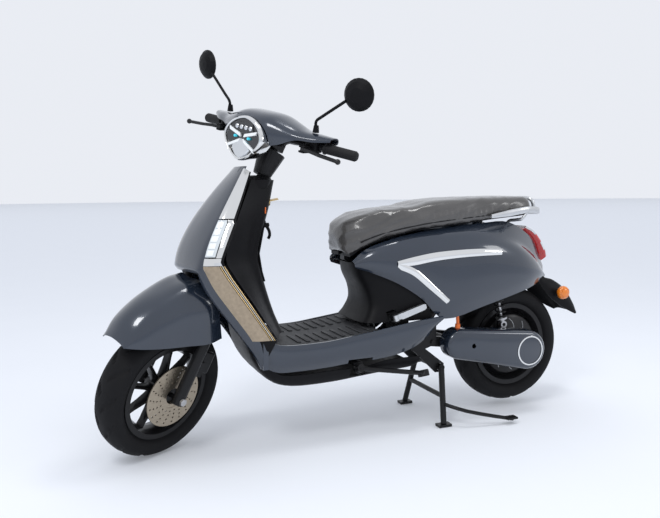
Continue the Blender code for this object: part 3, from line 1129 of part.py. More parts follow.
shaft = cylinder("shaft", REAR_AXLE + Vector((0, 0.100, 0)), REAR_AXLE - Vector((0, 0.100, 0)), AXLE_RADIUS, 16)
swingarm = union(pivot_tube, brace, shaft, *arms)
swing_bore = cylinder("swing_bore", swing_pivot + Vector((0, 0.12, 0)), swing_pivot - Vector((0, 0.12, 0)), 0.0095, 16)
finish(cut(swingarm, swing_bore), "swingarm", STEEL, SWING)

COVER_FRONT, COVER_REAR = (0.305, 0.301, 0.057), (0.0, REAR_AXLE_Z, 0.076)


def cover_ring(y, inset):
    """The outline round the cover's two ends, at Y."""
    reach = math.hypot(COVER_FRONT[0] - COVER_REAR[0], COVER_FRONT[1] - COVER_REAR[1])
    slope = math.atan2(COVER_FRONT[1] - COVER_REAR[1], COVER_FRONT[0] - COVER_REAR[0])
    open_angle = math.acos((COVER_REAR[2] - COVER_FRONT[2]) / reach)
    ring = []
    for (x, z, r), first, last, steps in (
        (COVER_FRONT, slope - open_angle, slope + open_angle, 9),
        (COVER_REAR, slope + open_angle, slope - open_angle + 2 * math.pi, 12),
    ):
        for k in range(steps + 1):
            turn = first + (last - first) * k / steps
            ring.append(Vector((x + (r - inset) * math.cos(turn), y, z + (r - inset) * math.sin(turn))))
    return ring


outer_cover = lofted("cover", [cover_ring(COVER_Y[0], 0), cover_ring(0.150, 0), cover_ring(0.161, 0.005),
                               cover_ring(COVER_Y[1], 0.016)])
pocket = lofted("pocket", [cover_ring(0.095, 0.004), cover_ring(0.149, 0.004), cover_ring(0.158, 0.009),
                           cover_ring(0.1635, 0.019)])
cover_hole = cylinder("cover_hole", (0.253, 0.10, 0.292), (0.253, 0.20, 0.292), 0.009, 16)
bosses = []
for share in (0.26, 0.80):
    at = swing_pivot.lerp(REAR_AXLE, share)
    bosses.append(cylinder("boss", at + Vector((0, SWING_ARM_Y + ARM_HALF + GAP, 0)), at + Vector((0, 0.165, 0)), 0.011, 12))
swingarm_cover = union(cut(outer_cover, pocket, cover_hole), *bosses)
finish(swingarm_cover, "swingarm_cover", PAINT, SWING)
CABLE_FOOT = COVER_FRONT[1] + COVER_FRONT[2]
gland = cylinder("gland", (0.305, 0.135, CABLE_FOOT + GAP), (0.305, 0.135, CABLE_FOOT + 0.016), 0.0095, 14)
cable = tube("cable", [(0.305, 0.135, CABLE_FOOT + 0.010), (0.305, 0.135, 0.385), (0.312, 0.140, 0.418), (0.327, 0.148, 0.448)],
             0.0062, 3, per_span=3)
finish(union(gland, cable), "motor_cable", ORANGE, SWING)

SHOCK_PATH = Vector((SHOCK_TOP[0] - SHOCK_LOW[0], 0, SHOCK_TOP[1] - SHOCK_LOW[1]))
SHOCK_DIR = SHOCK_PATH.normalized()
SHOCK_EYE = 0.0105
for side, word in ((1, "left"), (-1, "right")):
    top = Vector((SHOCK_TOP[0], side * SHOCK_Y, SHOCK_TOP[1]))
    low = Vector((SHOCK_LOW[0], side * SHOCK_Y, SHOCK_LOW[1]))
    across = Vector((0, SHOCK_EYE, 0))
    hinge = joint("shock_" + word + "_top", top, (0, 1, 0), ROOT)
    slide = joint("shock_" + word + "_slide", low, SHOCK_DIR, hinge)
    body = union(
        cylinder("eye", top - across, top + across, 0.0125, 16),
        cylinder("neck", top, top - SHOCK_DIR * 0.034, 0.009, 14),
        cylinder("cap", top - SHOCK_DIR * 0.026, top - SHOCK_DIR * 0.034, 0.022, 20),
        cylinder("damper", top - SHOCK_DIR * 0.030, top - SHOCK_DIR * 0.172, 0.0125, 20),
    )
    body = cut(
        body,
        cylinder("pin_bore", top - across * 2, top + across * 2, 0.0062, 14),
        cylinder("rod_bore", top - SHOCK_DIR * 0.080, top - SHOCK_DIR * 0.20, 0.0070, 16),
    )
    finish(body, "shock_body_" + word, STEEL, hinge)
    rod = union(
        cylinder("eye", low - across, low + across, 0.0135, 16),
        cylinder("foot", low, low + SHOCK_DIR * 0.028, 0.010, 14),
        cylinder("cup", low + SHOCK_DIR * 0.022, low + SHOCK_DIR * 0.029, 0.022, 20),
        cylinder("rod", low + SHOCK_DIR * 0.020, low + SHOCK_DIR * 0.122, 0.006, 14),
    )
    rod = cut(rod, cylinder("pin_bore", low - across * 2, low + across * 2, 0.0072, 14))
    finish(rod, "shock_rod_" + word, SILVER, slide)

# ---------------------------------------------------------------- stands and footrests
pivot = Vector((STAND_PIVOT[0], 0, STAND_PIVOT[1]))
stand_parts = [cylinder("stand_bar", pivot + Vector((0, 0.101, 0)), pivot - Vector((0, 0.101, 0)), STAND_TUBE, 16)]
for side in (1, -1):
    head = Vector((STAND_PIVOT[0], side * 0.0965, STAND_PIVOT[1]))
    foot = Vector((STAND_FOOT[0], side * STAND_FOOT[1], 0.009))
    stand_parts.append(cylinder("stand_leg", head, foot, 0.011, 14))
    stand_parts.append(block("stand_pad", (foot.x, foot.y, 0.0045), (0.052, 0.032, 0.009)))
stand_parts.append(cylinder("stand_brace", (0.3605, 0.124, 0.104), (0.3605, -0.124, 0.104), 0.009, 12))
treadle = [(0.364, 0.131, 0.078), (0.346, 0.160, 0.073), (0.300, 0.196, 0.060), (0.205, 0.215, 0.036), (0.118, 0.225, 0.016)]
stand_parts.append(tube("treadle", treadle, 0.0068, 2, per_span=2))
stand_parts.append(block("treadle_pad", (0.128, 0.224, 0.022), (0.044, 0.030, 0.007)))
finish(union(stand_parts[0], *stand_parts[1:]), "centre_stand", STEEL, C_STAND)

PROP = joint("side_stand_pivot", PROP_PIVOT, PROP_AXIS, ROOT)
PROP_LENGTH = 0.262
tip = PROP_PIVOT + PROP_FOLDED * PROP_LENGTH
out_way = PROP_AXIS * -0.002
prop = union(
    cylinder("eye", PROP_PIVOT - PROP_AXIS * 0.009, PROP_PIVOT + PROP_AXIS * 0.0095, 0.014, 18),
    cylinder("leg", PROP_PIVOT + PROP_FOLDED * 0.006 + out_way, tip + out_way, 0.0085, 14),
    block("foot", tip - PROP_FOLDED * 0.012 + out_way, (0.038, 0.024, 0.022), turned_to(PROP_AXIS), 0.003),
    cylinder("tang", PROP_PIVOT + PROP_FOLDED * 0.205 + out_way, PROP_PIVOT + PROP_FOLDED * 0.232
             + Vector((0, 0.040, 0.010)), 0.0055, 10),
)
prop_bore = cylinder("prop_bore", PROP_PIVOT - PROP_AXIS * 0.03, PROP_PIVOT + PROP_AXIS * 0.03, 0.0062, 14)
finish(cut(prop, prop_bore), "side_stand", STEEL, PROP)

PEG_STATIONS = (  # distance from the pivot, half height, inner and outer Y
    (0.0, 0.0095, 0.1640, 0.1760), (0.014, 0.0095, 0.1640, 0.1765), (0.021, 0.0112, 0.1690, 0.1820),
    (0.110, 0.0105, 0.1690, 0.1820), (0.120, 0.0070, 0.1700, 0.1800),
)
for side, word in ((1, "left"), (-1, "right")):
    centre = side_of(PEG_PIVOT, side)
    fold = joint("footrest_" + word + "_fold", centre, PEG_AXIS * -side, ROOT)
    rings = []
    for reach, tall, inner, outer in PEG_STATIONS:
        at = PEG_PIVOT + PEG_DIR * reach
        rings.append([Vector((at.x, side * y, at.z)) + PEG_AXIS * tall * up
                      for y, up in ((inner, -1), (outer, -1), (outer, 1), (inner, 1))])
    eye_half = PEG_EYE_HALF - 2 * GAP
    peg = union(
        lofted("bar", rings),
        cylinder("eye", centre - PEG_AXIS * eye_half, centre + PEG_AXIS * eye_half, 0.0105, 16),
    )
    peg = cut(peg, cylinder("bore", centre - PEG_AXIS * 0.03, centre + PEG_AXIS * 0.03, 0.0052, 14))
    finish(peg, "footrest_" + word, STEEL, fold)

# ---------------------------------------------------------------- the pose it stands in
bpy.context.view_layer.update()
STEER.matrix_world = STEER.matrix_world @ Matrix.Rotation(STEER_REST, 4, "Z")
bpy.context.view_layer.update()
low = [math.inf] * 3
high = [-math.inf] * 3
for item in PARTS.objects:
    if item.type == "MESH":
        for vertex in item.data.vertices:
            place = item.matrix_world @ vertex.co
            low = [min(a, b) for a, b in zip(low, place)]
            high = [max(a, b) for a, b in zip(high, place)]
ROOT.location = (-(low[0] + high[0]) / 2, -(low[1] + high[1]) / 2, -low[2])
bpy.context.view_layer.update()
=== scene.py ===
"""A moped scooter on its centre stand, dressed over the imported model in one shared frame."""
import json
import math

import bmesh
import bpy
from mathutils import Matrix, Vector, noise
from mathutils.bvhtree import BVHTree

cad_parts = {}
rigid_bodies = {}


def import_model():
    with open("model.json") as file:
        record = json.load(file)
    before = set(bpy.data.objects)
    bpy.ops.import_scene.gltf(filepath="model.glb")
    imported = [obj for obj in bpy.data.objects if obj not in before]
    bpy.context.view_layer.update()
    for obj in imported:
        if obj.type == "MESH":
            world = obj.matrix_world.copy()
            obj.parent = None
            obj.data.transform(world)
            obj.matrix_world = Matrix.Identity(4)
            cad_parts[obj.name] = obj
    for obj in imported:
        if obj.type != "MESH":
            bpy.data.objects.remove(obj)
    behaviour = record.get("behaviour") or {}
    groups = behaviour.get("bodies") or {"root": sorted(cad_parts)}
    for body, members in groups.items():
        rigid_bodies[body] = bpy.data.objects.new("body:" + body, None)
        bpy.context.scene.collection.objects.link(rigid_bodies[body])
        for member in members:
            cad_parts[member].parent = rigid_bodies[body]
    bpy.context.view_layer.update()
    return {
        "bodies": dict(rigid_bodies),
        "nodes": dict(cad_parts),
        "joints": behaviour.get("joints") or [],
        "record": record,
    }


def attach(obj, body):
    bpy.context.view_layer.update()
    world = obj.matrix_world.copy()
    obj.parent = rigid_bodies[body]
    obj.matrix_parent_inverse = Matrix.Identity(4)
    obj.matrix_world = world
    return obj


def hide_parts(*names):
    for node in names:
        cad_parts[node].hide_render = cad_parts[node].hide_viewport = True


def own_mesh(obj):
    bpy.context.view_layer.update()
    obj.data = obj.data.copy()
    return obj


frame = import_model()
NODES = frame["nodes"]
BODY = {n: next(b for b, e in frame["bodies"].items() if e == o.parent) for n, o in NODES.items()}
JOINTS = {j["name"]: j for j in frame["joints"]}

# ---------------------------------------------------------------- driving dimensions
GAP = 0.0003  # between pieces that touch
CLEAR = 0.0015  # between pieces that move past each other
WALL = 0.003  # moulded panels

WHEELBASE = 1.375
TYRE_RADIUS = 0.2295  # 110/70-12
TYRE_HALF_WIDTH = 0.055
RIM_FLANGE = 0.1635
RIM_SEAT = 0.150
RIM_HALF_WIDTH = 0.039
REAR_LIFT = 0.0215  # rear tyre above the ground on the centre stand
SPOKES = 9

RAKE = math.radians(26)
TRAIL = 0.080
STEER_REST = math.radians(34)

LEG_Y = 0.095
AXLE_RADIUS = 0.008
DISC_RADIUS = 0.104
DISC_Y = 0.0655

DOWN_TUBE = 0.021
SWING_PIVOT = (0.396, 0.309)  # X and Z, as for the shocks' ends
COVER_Y = (0.104, 0.167)
SHOCK_Y = 0.085
SHOCK_TOP = (0.125, 0.600)
SHOCK_LOW = (0.070, 0.345)

REAR_AXLE_Z = TYRE_RADIUS + REAR_LIFT
FINE = 4  # points from one control point to the next on a smooth surface
PIVOT_AT = Vector((SWING_PIVOT[0], 0, SWING_PIVOT[1]))
SHIFT = Matrix.Translation(Vector(JOINTS["swingarm_pivot"]["pos_m"]) - PIVOT_AT)
STEER_AT = Vector(JOINTS["steering"]["pos_m"])
STEER_TURN = (
    Matrix.Translation(STEER_AT)
    @ Matrix.Rotation(STEER_REST, 4, Vector((-math.sin(RAKE), 0, math.cos(RAKE))))
    @ Matrix.Translation(-STEER_AT)
)
SIDES = ((1, "left"), (-1, "right"))
STEERED = {"steering", "fork", "front_wheel", "throttle", "brake_lever_left", "brake_lever_right", "horn",
           "signal_switch", "mirror_left", "mirror_right"}


# ---------------------------------------------------------------- finishes
def adjusted(node, **values):
    """The node with its inputs set; an underscore in a keyword stands for a space."""
    for key, value in values.items():
        node.inputs[key.replace("_", " ")].default_value = value
    return node


def finish_of(name, base, rough, metallic=0.0, vary=0.12, grain=40.0, bump=0.05, coat=0.0, glow=0.0,
              stretch=(1, 1, 1), depth=0.002, shine=0.5):
    """A node finish: a base colour, roughness and fine relief that vary over the surface."""
    made = bpy.data.materials.new(name)
    made.use_nodes = True
    nodes, links = made.node_tree.nodes, made.node_tree.links
    shader = adjusted(nodes["Principled BSDF"], Metallic=metallic, Coat_Weight=coat, Coat_Roughness=0.05,
                      Specular_IOR_Level=shine)
    place = nodes.new("ShaderNodeTexCoord")
    scaled = adjusted(nodes.new("ShaderNodeMapping"), Scale=stretch)
    links.new(place.outputs["Object"], scaled.inputs["Vector"])
    cloud = adjusted(nodes.new("ShaderNodeTexNoise"), Scale=grain, Detail=4.0)
    links.new(scaled.outputs["Vector"], cloud.inputs["Vector"])
    paint = nodes.new("ShaderNodeMix")
    paint.data_type = "RGBA"
    dark = [max(0.0, c * (1 - vary)) for c in base]
    light = [min(1.0, c * (1 + vary)) for c in base]
    paint.inputs[6].default_value = (*dark, 1)
    paint.inputs[7].default_value = (*light, 1)
    links.new(cloud.outputs["Fac"], paint.inputs[0])
    links.new(paint.outputs[2], shader.inputs["Base Color"])
    low, high = max(0.02, rough * 0.8), min(1.0, rough * 1.2)
    rub = adjusted(nodes.new("ShaderNodeMapRange"), To_Min=low, To_Max=high)
    links.new(cloud.outputs["Fac"], rub.inputs["Value"])
    links.new(rub.outputs["Result"], shader.inputs["Roughness"])
    if bump:
        grit = adjusted(nodes.new("ShaderNodeTexNoise"), Scale=grain * 6, Detail=3.0)
        links.new(scaled.outputs["Vector"], grit.inputs["Vector"])
        relief = adjusted(nodes.new("ShaderNodeBump"), Strength=bump, Distance=depth)
        links.new(grit.outputs["Fac"], relief.inputs["Height"])
        links.new(relief.outputs["Normal"], shader.inputs["Normal"])
    if glow:
        adjusted(shader, Emission_Color=(*base, 1), Emission_Strength=glow)
    return made


LOOKS = {
    "body_paint": finish_of("paint", (0.017, 0.0255, 0.042), 0.22, 0.25, 0.10, 9.0, 0.0, coat=1.0,
                            shine=0.45),
    "tyre": finish_of("tyre", (0.007, 0.007, 0.008), 0.70, 0.0, 0.25, 30.0, 0.20, depth=0.0008, shine=0.18),
    "grip_rubber": finish_of("rubber", (0.009, 0.009, 0.010), 0.66, 0.0, 0.2, 60.0, 0.25,
                             depth=0.0008, shine=0.25),
    "black_alloy": finish_of("dark_alloy", (0.009, 0.009, 0.010), 0.36, 0.3, 0.2, 30.0, 0.04, coat=0.1,
                             shine=0.3),
    "disc_steel": finish_of("disc", (0.42, 0.36, 0.28), 0.34, 0.95, 0.12, 40.0, 0.06, stretch=(1, 6, 1)),
    "black_steel": finish_of("dark_steel", (0.008, 0.008, 0.009), 0.40, 0.2, 0.2, 50.0, 0.08, shine=0.3),
    "key_brass": finish_of("brass", (0.62, 0.44, 0.18), 0.30, 0.95, 0.1, 60.0, 0.04),
    "lever_alloy": finish_of("lever", (0.010, 0.010, 0.011), 0.30, 0.3, 0.08, 40.0, 0.04),
    "bare_steel": finish_of("steel", (0.50, 0.50, 0.51), 0.34, 0.95, 0.1, 50.0, 0.05),
    "silver_alloy": finish_of("silver", (0.60, 0.61, 0.62), 0.30, 0.90, 0.08, 40.0, 0.05),
    "chrome": finish_of("chrome", (0.78, 0.78, 0.77), 0.10, 1.0, 0.04, 12.0, 0.0),
    "lamp_chrome": finish_of("reflector", (0.70, 0.72, 0.74), 0.14, 0.9, 0.06, 25.0, 0.03),
    "clear_lens": finish_of("clear", (0.62, 0.66, 0.68), 0.08, 0.0, 0.06, 20.0, 0.02, coat=0.6),
    "red_lens": finish_of("red", (0.50, 0.015, 0.015), 0.12, 0.0, 0.10, 60.0, 0.05, coat=0.6),
    "amber_lens": finish_of("amber", (0.75, 0.20, 0.012), 0.14, 0.0, 0.12, 60.0, 0.06, coat=0.6),
    "button_plastic": finish_of("button", (0.42, 0.07, 0.02), 0.35, 0.0, 0.1, 80.0, 0.05),
    "black_plastic": finish_of("plastic", (0.006, 0.006, 0.007), 0.46, 0.0, 0.18, 70.0, 0.22,
                               depth=0.0006, shine=0.12),
    "battery_case": finish_of("case", (0.035, 0.036, 0.04), 0.45, 0.0, 0.15, 60.0, 0.15, depth=0.0006),
    "floor_mat": finish_of("mat", (0.028, 0.029, 0.032), 0.60, 0.0, 0.2, 60.0, 0.25, depth=0.0008, shine=0.3),
    # The film's colour swings by 40% in coarse stretched streaks: painted highlight streaks that stand for
    # sheen on the wrinkled film.
    "seat_film": finish_of("film", (0.070, 0.067, 0.065), 0.26, 0.0, 0.40, 9.0, 0.12, coat=0.35, depth=0.003,
                           stretch=(1, 1, 2.2)),
    "orange_cable": finish_of("cable", (0.80, 0.16, 0.02), 0.45, 0.0, 0.12, 60.0, 0.08),
}
SPECKLE = finish_of("speckled_trim", (0.36, 0.29, 0.21), 0.42, 0.55, 0.30, 90.0, 0.20, depth=0.0008)
DARK_LENS = finish_of("dark_lens", (0.012, 0.013, 0.016), 0.07, 0.0, 0.2, 20.0, 0.0, coat=0.8)
WHITE_LIGHT = finish_of("white_lamp", (0.86, 0.88, 0.88), 0.18, 0.0, 0.05, 60.0, 0.05, coat=0.4)
CYAN_DOT = finish_of("cyan_dot", (0.05, 0.50, 0.62), 0.20, 0.0, 0.1, 60.0, 0.0, glow=0.4)
GOLD_LINE = finish_of("gold_line", (0.55, 0.40, 0.20), 0.30, 0.85, 0.1, 60.0, 0.03)
CREAM_LINE = finish_of("cream_line", (0.72, 0.70, 0.64), 0.32, 0.2, 0.06, 60.0, 0.03)

SLOT_OF = {s["node"]: s["material_slot"] for s in frame["record"]["subparts"]}
for node, item in NODES.items():
    item.data.materials.clear()
    item.data.materials.append(LOOKS[SLOT_OF[node]])
    item.data.shade_smooth()


# ---------------------------------------------------------------- helpers
def link(name, mesh):
    made = bpy.data.objects.new(name, mesh)
    bpy.context.scene.collection.objects.link(made)
    return made


def baked(item):
    """The object as its modifiers leave it, as one closed mesh with its faces pointing out."""
    bpy.context.view_layer.update()
    graph = bpy.context.evaluated_depsgraph_get()
    mesh = bpy.data.meshes.new_from_object(item.evaluated_get(graph), depsgraph=graph)
    work = bmesh.new()
    work.from_mesh(mesh)
    bmesh.ops.remove_doubles(work, verts=work.verts, dist=2e-6)
    loose = [edge for edge in work.edges if not edge.link_faces]
    bmesh.ops.delete(work, geom=loose, context="EDGES")
    bmesh.ops.recalc_face_normals(work, faces=work.faces)
    work.to_mesh(mesh)
    work.free()
    place = item.matrix_world.copy()
    name = item.name
    bpy.data.objects.remove(item)
    made = link(name, mesh)
    made.matrix_world = place
    return made


def combined(target, tools, operation):
    for tool in tools:
        step = target.modifiers.new("Boolean", "BOOLEAN")
        step.operation = operation
        step.solver = "EXACT"
        step.object = tool
    done = baked(target)
    for tool in tools:
        bpy.data.objects.remove(tool)
    return done


def union(target, *tools):
    return combined(target, tools, "UNION")


def cut(target, *tools):
    return combined(target, tools, "DIFFERENCE")


def turned_to(direction):
    """A rotation that takes +Z to the direction."""
    return Vector((0, 0, 1)).rotation_difference(Vector(direction)).to_matrix().to_4x4()


def cylinder(name, start, end, radius, sides=16):
    start, end = Vector(start), Vector(end)
    mesh = bpy.data.meshes.new(name)
    work = bmesh.new()
    bmesh.ops.create_cone(
        work, cap_ends=True, segments=sides, radius1=radius, radius2=radius, depth=(end - start).length
    )
    work.to_mesh(mesh)
    work.free()
    made = link(name, mesh)
    made.matrix_world = Matrix.Translation((start + end) / 2) @ turned_to(end - start)
    return made


def block(name, center, size, rotation=None, bevel=0.0):
    mesh = bpy.data.meshes.new(name)
    work = bmesh.new()
    bmesh.ops.create_cube(work, size=1.0)
    bmesh.ops.scale(work, vec=Vector(size), verts=work.verts)
    work.to_mesh(mesh)
    work.free()
    made = link(name, mesh)
    made.matrix_world = Matrix.Translation(Vector(center)) @ (rotation or Matrix())
    if bevel:
        edge = made.modifiers.new("Bevel", "BEVEL")
        edge.width = bevel
        edge.segments = 2
    return made


def turned(name, profile, sides=32, closed=True):
    """A profile of (radius, height) turned about Z; an open one starts and ends on the axis."""
    mesh = bpy.data.meshes.new(name)
    count = len(profile)
    links = [(i, (i + 1) % count) for i in range(count if closed else count - 1)]
    mesh.from_pydata([(r, 0, h) for r, h in profile], links, [])
    made = link(name, mesh)
    screw = made.modifiers.new("Screw", "SCREW")
    screw.steps = sides
    screw.render_steps = sides
    screw.use_merge_vertices = True
    screw.merge_threshold = 0.00001
    return baked(made)


def along_y(item, center, flip=False):
    """Stands a turned piece on a crosswise axis: its Z becomes +Y, or -Y."""
    turn = Matrix.Rotation(math.radians(90 if flip else -90), 4, "X")
    item.matrix_world = Matrix.Translation(Vector(center)) @ turn
    return item


def tube(name, points, radius, resolution=3, smooth=True, per_span=3):
    """A bent tube as a mesh with closed ends."""
    route = spline([Vector(p) for p in points], per_span) if smooth else [Vector(p) for p in points]
    curve = bpy.data.curves.new(name, "CURVE")
    curve.dimensions = "3D"
    curve.bevel_depth = radius
    curve.bevel_resolution = resolution - 1
    curve.use_fill_caps = True
    line = curve.splines.new("POLY")
    line.points.add(len(route) - 1)
    for point, place in zip(line.points, route):
        point.co = (*place, 1.0)
    return baked(link(name, curve))


def spline(points, per_span, corners=()):
    """Points along a smooth curve through the given points, with sharp turns at the corners."""
    last = len(points) - 1
    route = []
    for i in range(last):
        a, b = points[i], points[i + 1]
        before = points[i - 1] if i > 0 and i not in corners else 2 * a - b
        after = points[i + 2] if i + 1 < last and i + 1 not in corners else 2 * b - a
        for k in range(per_span):
            t = k / per_span
            route.append(
                0.5 * (2 * a + (b - before) * t + (2 * before - 5 * a + 4 * b - after) * t**2
                       + (3 * a - before - 3 * b + after) * t**3)
            )
    route.append(points[last])
    return route


def net(rows, per_row=FINE, per_column=FINE, row_corners=()):
    """A grid of points on a smooth surface through rows of control points."""
    lines = [spline([Vector(p) for p in row], per_column) for row in rows]
    columns = [spline(list(column), per_row, row_corners) for column in zip(*lines)]
    return [list(row) for row in zip(*columns)]


def skin(name, grid, flip=False, keep=lambda row, column: True):
    """An open surface through a grid of points."""
    width = len(grid[0])
    faces = []
    for r in range(len(grid) - 1):
        for c in range(width - 1):
            if keep(r, c):
                face = (r * width + c, r * width + c + 1, (r + 1) * width + c + 1, (r + 1) * width + c)
                faces.append(face[::-1] if flip else face)
    mesh = bpy.data.meshes.new(name)
    mesh.from_pydata([tuple(p) for row in grid for p in row], [], faces)
    work = bmesh.new()
    work.from_mesh(mesh)
    loose = [v for v in work.verts if not v.link_faces]
    bmesh.ops.delete(work, geom=loose, context="VERTS")
    bmesh.ops.remove_doubles(work, verts=work.verts, dist=1e-5)
    work.to_mesh(mesh)
    work.free()
    return link(name, mesh)


def shell(name, grid, thickness=WALL, flip=False, keep=lambda row, column: True):
    """A moulded panel: a surface with a wall behind it."""
    made = skin(name, grid, flip, keep)
    wall = made.modifiers.new("Solidify", "SOLIDIFY")
    wall.thickness = thickness
    wall.offset = -1
    wall.use_even_offset = True
    return baked(made)


def lofted(name, sections):
    """A closed solid through rings of points of equal count."""
    count = len(sections[0])
    faces = []
    for s in range(len(sections) - 1):
        for i in range(count):
            j = (i + 1) % count
            faces.append((s * count + i, s * count + j, (s + 1) * count + j, (s + 1) * count + i))
    faces.append(tuple(range(count))[::-1])
    faces.append(tuple((len(sections) - 1) * count + i for i in range(count)))
    mesh = bpy.data.meshes.new(name)
    mesh.from_pydata([tuple(p) for ring in sections for p in ring], [], faces)
    return baked(link(name, mesh))


def mirrored(points):
    return [(x, -y, z) for x, y, z in points]


def both_sides(half):
    """A full row from a half row that runs from the centre (y = 0) outwards on +Y."""
    return [(x, y, z) for x, y, z in reversed(half)] + mirrored(half[1:])


def level_rows(levels):
    """Full rows of points from levels that give Z, then X and Y from the middle to the outer edge."""
    return [both_sides([(x, y, level[0]) for x, y in level[1:]]) for level in levels]


def side_of(point, side):
    return Vector((point.x, side * point.y, point.z))


def polar(radius, turn, height=0.0):
    return Vector((radius * math.cos(turn), radius * math.sin(turn), height))


def rounded(turn, power=0.8):
    """The cosine and sine of an angle, pushed outwards for a round-cornered outline."""
    c, s = math.cos(turn), math.sin(turn)
    return math.copysign(abs(c) ** power, c), math.copysign(abs(s) ** power, s)


def place(item, body):
    """Takes a piece from the straight-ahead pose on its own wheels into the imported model's frame."""
    bpy.context.view_layer.update()
    into = STEER_TURN @ SHIFT if body in STEERED else SHIFT
    item.matrix_world = into @ item.matrix_world
    return item


SHARP_ANGLE = math.radians(38)


def dressed(item, name, look, edge=0.0):
    item.name = name
    item.data.name = name
    item.data.materials.clear()
    item.data.materials.append(look)
    item.data.shade_smooth()
    item.data.set_sharp_from_angle(angle=SHARP_ANGLE)
    if edge:
        soft = item.modifiers.new("Bevel", "BEVEL")
        soft.width = edge
        soft.segments = 2
        soft.limit_method = "ANGLE"
        soft.angle_limit = SHARP_ANGLE
        soft.harden_normals = True
    return item


def finish(item, node, look=None, edge=0.0):
    """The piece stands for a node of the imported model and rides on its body."""
    dressed(item, node + "_skin", look or LOOKS[SLOT_OF[node]], edge)
    place(item, BODY[node])
    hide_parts(node)
    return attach(item, BODY[node])


def extra(item, name, body, slot, look=None, edge=0.0):
    """A further piece that rides on a body."""
    dressed(item, name, look or LOOKS[slot], edge)
    place(item, body)
    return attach(item, body)


# ---------------------------------------------------------------- steering geometry
RAKE_DIR = Vector((-math.sin(RAKE), 0, math.cos(RAKE)))
GROUND_POINT = Vector((WHEELBASE + TRAIL, 0, 0))


BEAD_HALF, BEAD_RADIUS = 0.0345, 0.1545  # inner edge of the drawn tyre section
DRAWN_SPREAD = 0.0205  # from there out to its widest point


def tyre_place(width, radius):
    """A width and radius of the drawn 110/70-12 section, fitted to this rim and tread radius."""
    seat_half = RIM_HALF_WIDTH - 0.0045
    if width > BEAD_HALF:
        width = seat_half + (width - BEAD_HALF) * (TYRE_HALF_WIDTH - seat_half) / DRAWN_SPREAD
    return width, RIM_FLANGE - 0.009 + (radius - BEAD_RADIUS) * TYRE_GROWTH


def tyre_outline():
    """Half widths and radii of the tread from one bead over the crown to the other."""
    side = [(BEAD_HALF, BEAD_RADIUS), (BEAD_HALF, 0.1652), (0.0475, 0.1745), (0.055, 0.190), (0.0515, 0.2085),
            (0.034, 0.2225)]
    grown = [tyre_place(w, r) for w, r in side]
    crown = [(0.0145, TYRE_RADIUS - 0.0012), (-0.0145, TYRE_RADIUS - 0.0012)]
    return grown + crown + [(-w, r) for w, r in reversed(grown)]


TYRE_GROWTH = (TYRE_RADIUS - RIM_FLANGE) / (0.2295 - 0.1635)
LEAN = math.asin(math.sin(STEER_REST) * math.sin(RAKE))  # the turned wheel leans by this
STEERED_REACH = max(r * math.cos(LEAN) + abs(w) * math.sin(LEAN) for w, r in tyre_outline())


def axle_offset(axle_z):
    """How far the front axle lies ahead of the steering axis."""
    on_axis = GROUND_POINT + RAKE_DIR * (axle_z / RAKE_DIR.z)
    return (WHEELBASE - on_axis.x) * math.cos(RAKE)


FRONT_AXLE_Z = STEERED_REACH
for _ in range(4):
    dip = axle_offset(FRONT_AXLE_Z) * (1 - math.cos(STEER_REST)) * math.sin(RAKE)
    FRONT_AXLE_Z = STEERED_REACH + dip
FRONT_AXLE = Vector((WHEELBASE, 0, FRONT_AXLE_Z))
REAR_AXLE = Vector((0, 0, REAR_AXLE_Z))

# ---------------------------------------------------------------- wheels
TREAD_STEPS = 168
GROOVE_PITCH, GROOVE_WIDTH = 12, 2.2  # in steps round the tread
GROOVE_DEPTH = 0.0045
SHOULDER_GROOVES = (0.12, 0.86)  # shares of the half width between which they run


def tyre(node, axle):
    """The tyre turned in steps, with slanted grooves pressed into its tread."""
    side = [Vector((w, r, 0)) for w, r in tyre_outline()]
    smooth = spline(side[1:-1], 5)
    outline = [side[0]] + smooth + [side[-1]]
    half = [tyre_place(0.0275, 0.1545), tyre_place(0.0450, 0.1850), tyre_place(0.0290, 0.2140)]
    inner = half + [(-w, r) for w, r in reversed(half)]
    points, faces = [], []
    count = len(outline) + len(inner)
    for k in range(TREAD_STEPS):
        turn = 2 * math.pi * k / TREAD_STEPS
        for p in outline:
            w, r = p.x, p.y
            across = abs(w) / TYRE_HALF_WIDTH
            if SHOULDER_GROOVES[0] < across < SHOULDER_GROOVES[1] and r > TYRE_RADIUS - 0.024:
                phase = (k + (0 if w > 0 else GROOVE_PITCH / 2) + across * 9) % GROOVE_PITCH
                if phase < GROOVE_WIDTH:
                    r -= GROOVE_DEPTH
            if across < 0.05 and r > TYRE_RADIUS - 0.01:
                r -= 0.0035
            points.append(polar(r, turn, w))
        for w, r in reversed(inner):
            points.append(polar(r, turn, w))
    for k in range(TREAD_STEPS):
        n = (k + 1) % TREAD_STEPS
        for i in range(count):
            j = (i + 1) % count
            faces.append((k * count + i, k * count + j, n * count + j, n * count + i))
    mesh = bpy.data.meshes.new(node)
    mesh.from_pydata(points, [], faces)
    made = baked(link("tyre", mesh))
    return finish(along_y(made, axle), node)


def wheel_barrel():
    """The rim's ring: a flange each side and the seat between them."""
    flange, seat, half = RIM_FLANGE, RIM_SEAT, RIM_HALF_WIDTH
    bead = tyre_outline()[0][1] - CLEAR
    return [
        (flange, half), (flange, half - 0.003), (bead, half - 0.004), (bead - 0.002, 0.018),
        (bead - 0.010, 0.012), (bead - 0.010, -0.012), (bead - 0.002, -0.018), (bead, 0.004 - half),
        (flange, 0.003 - half), (flange, -half), (seat - 0.004, -half), (seat - 0.012, -0.020),
        (seat - 0.018, 0), (seat - 0.012, 0.020), (seat - 0.004, half),
    ]


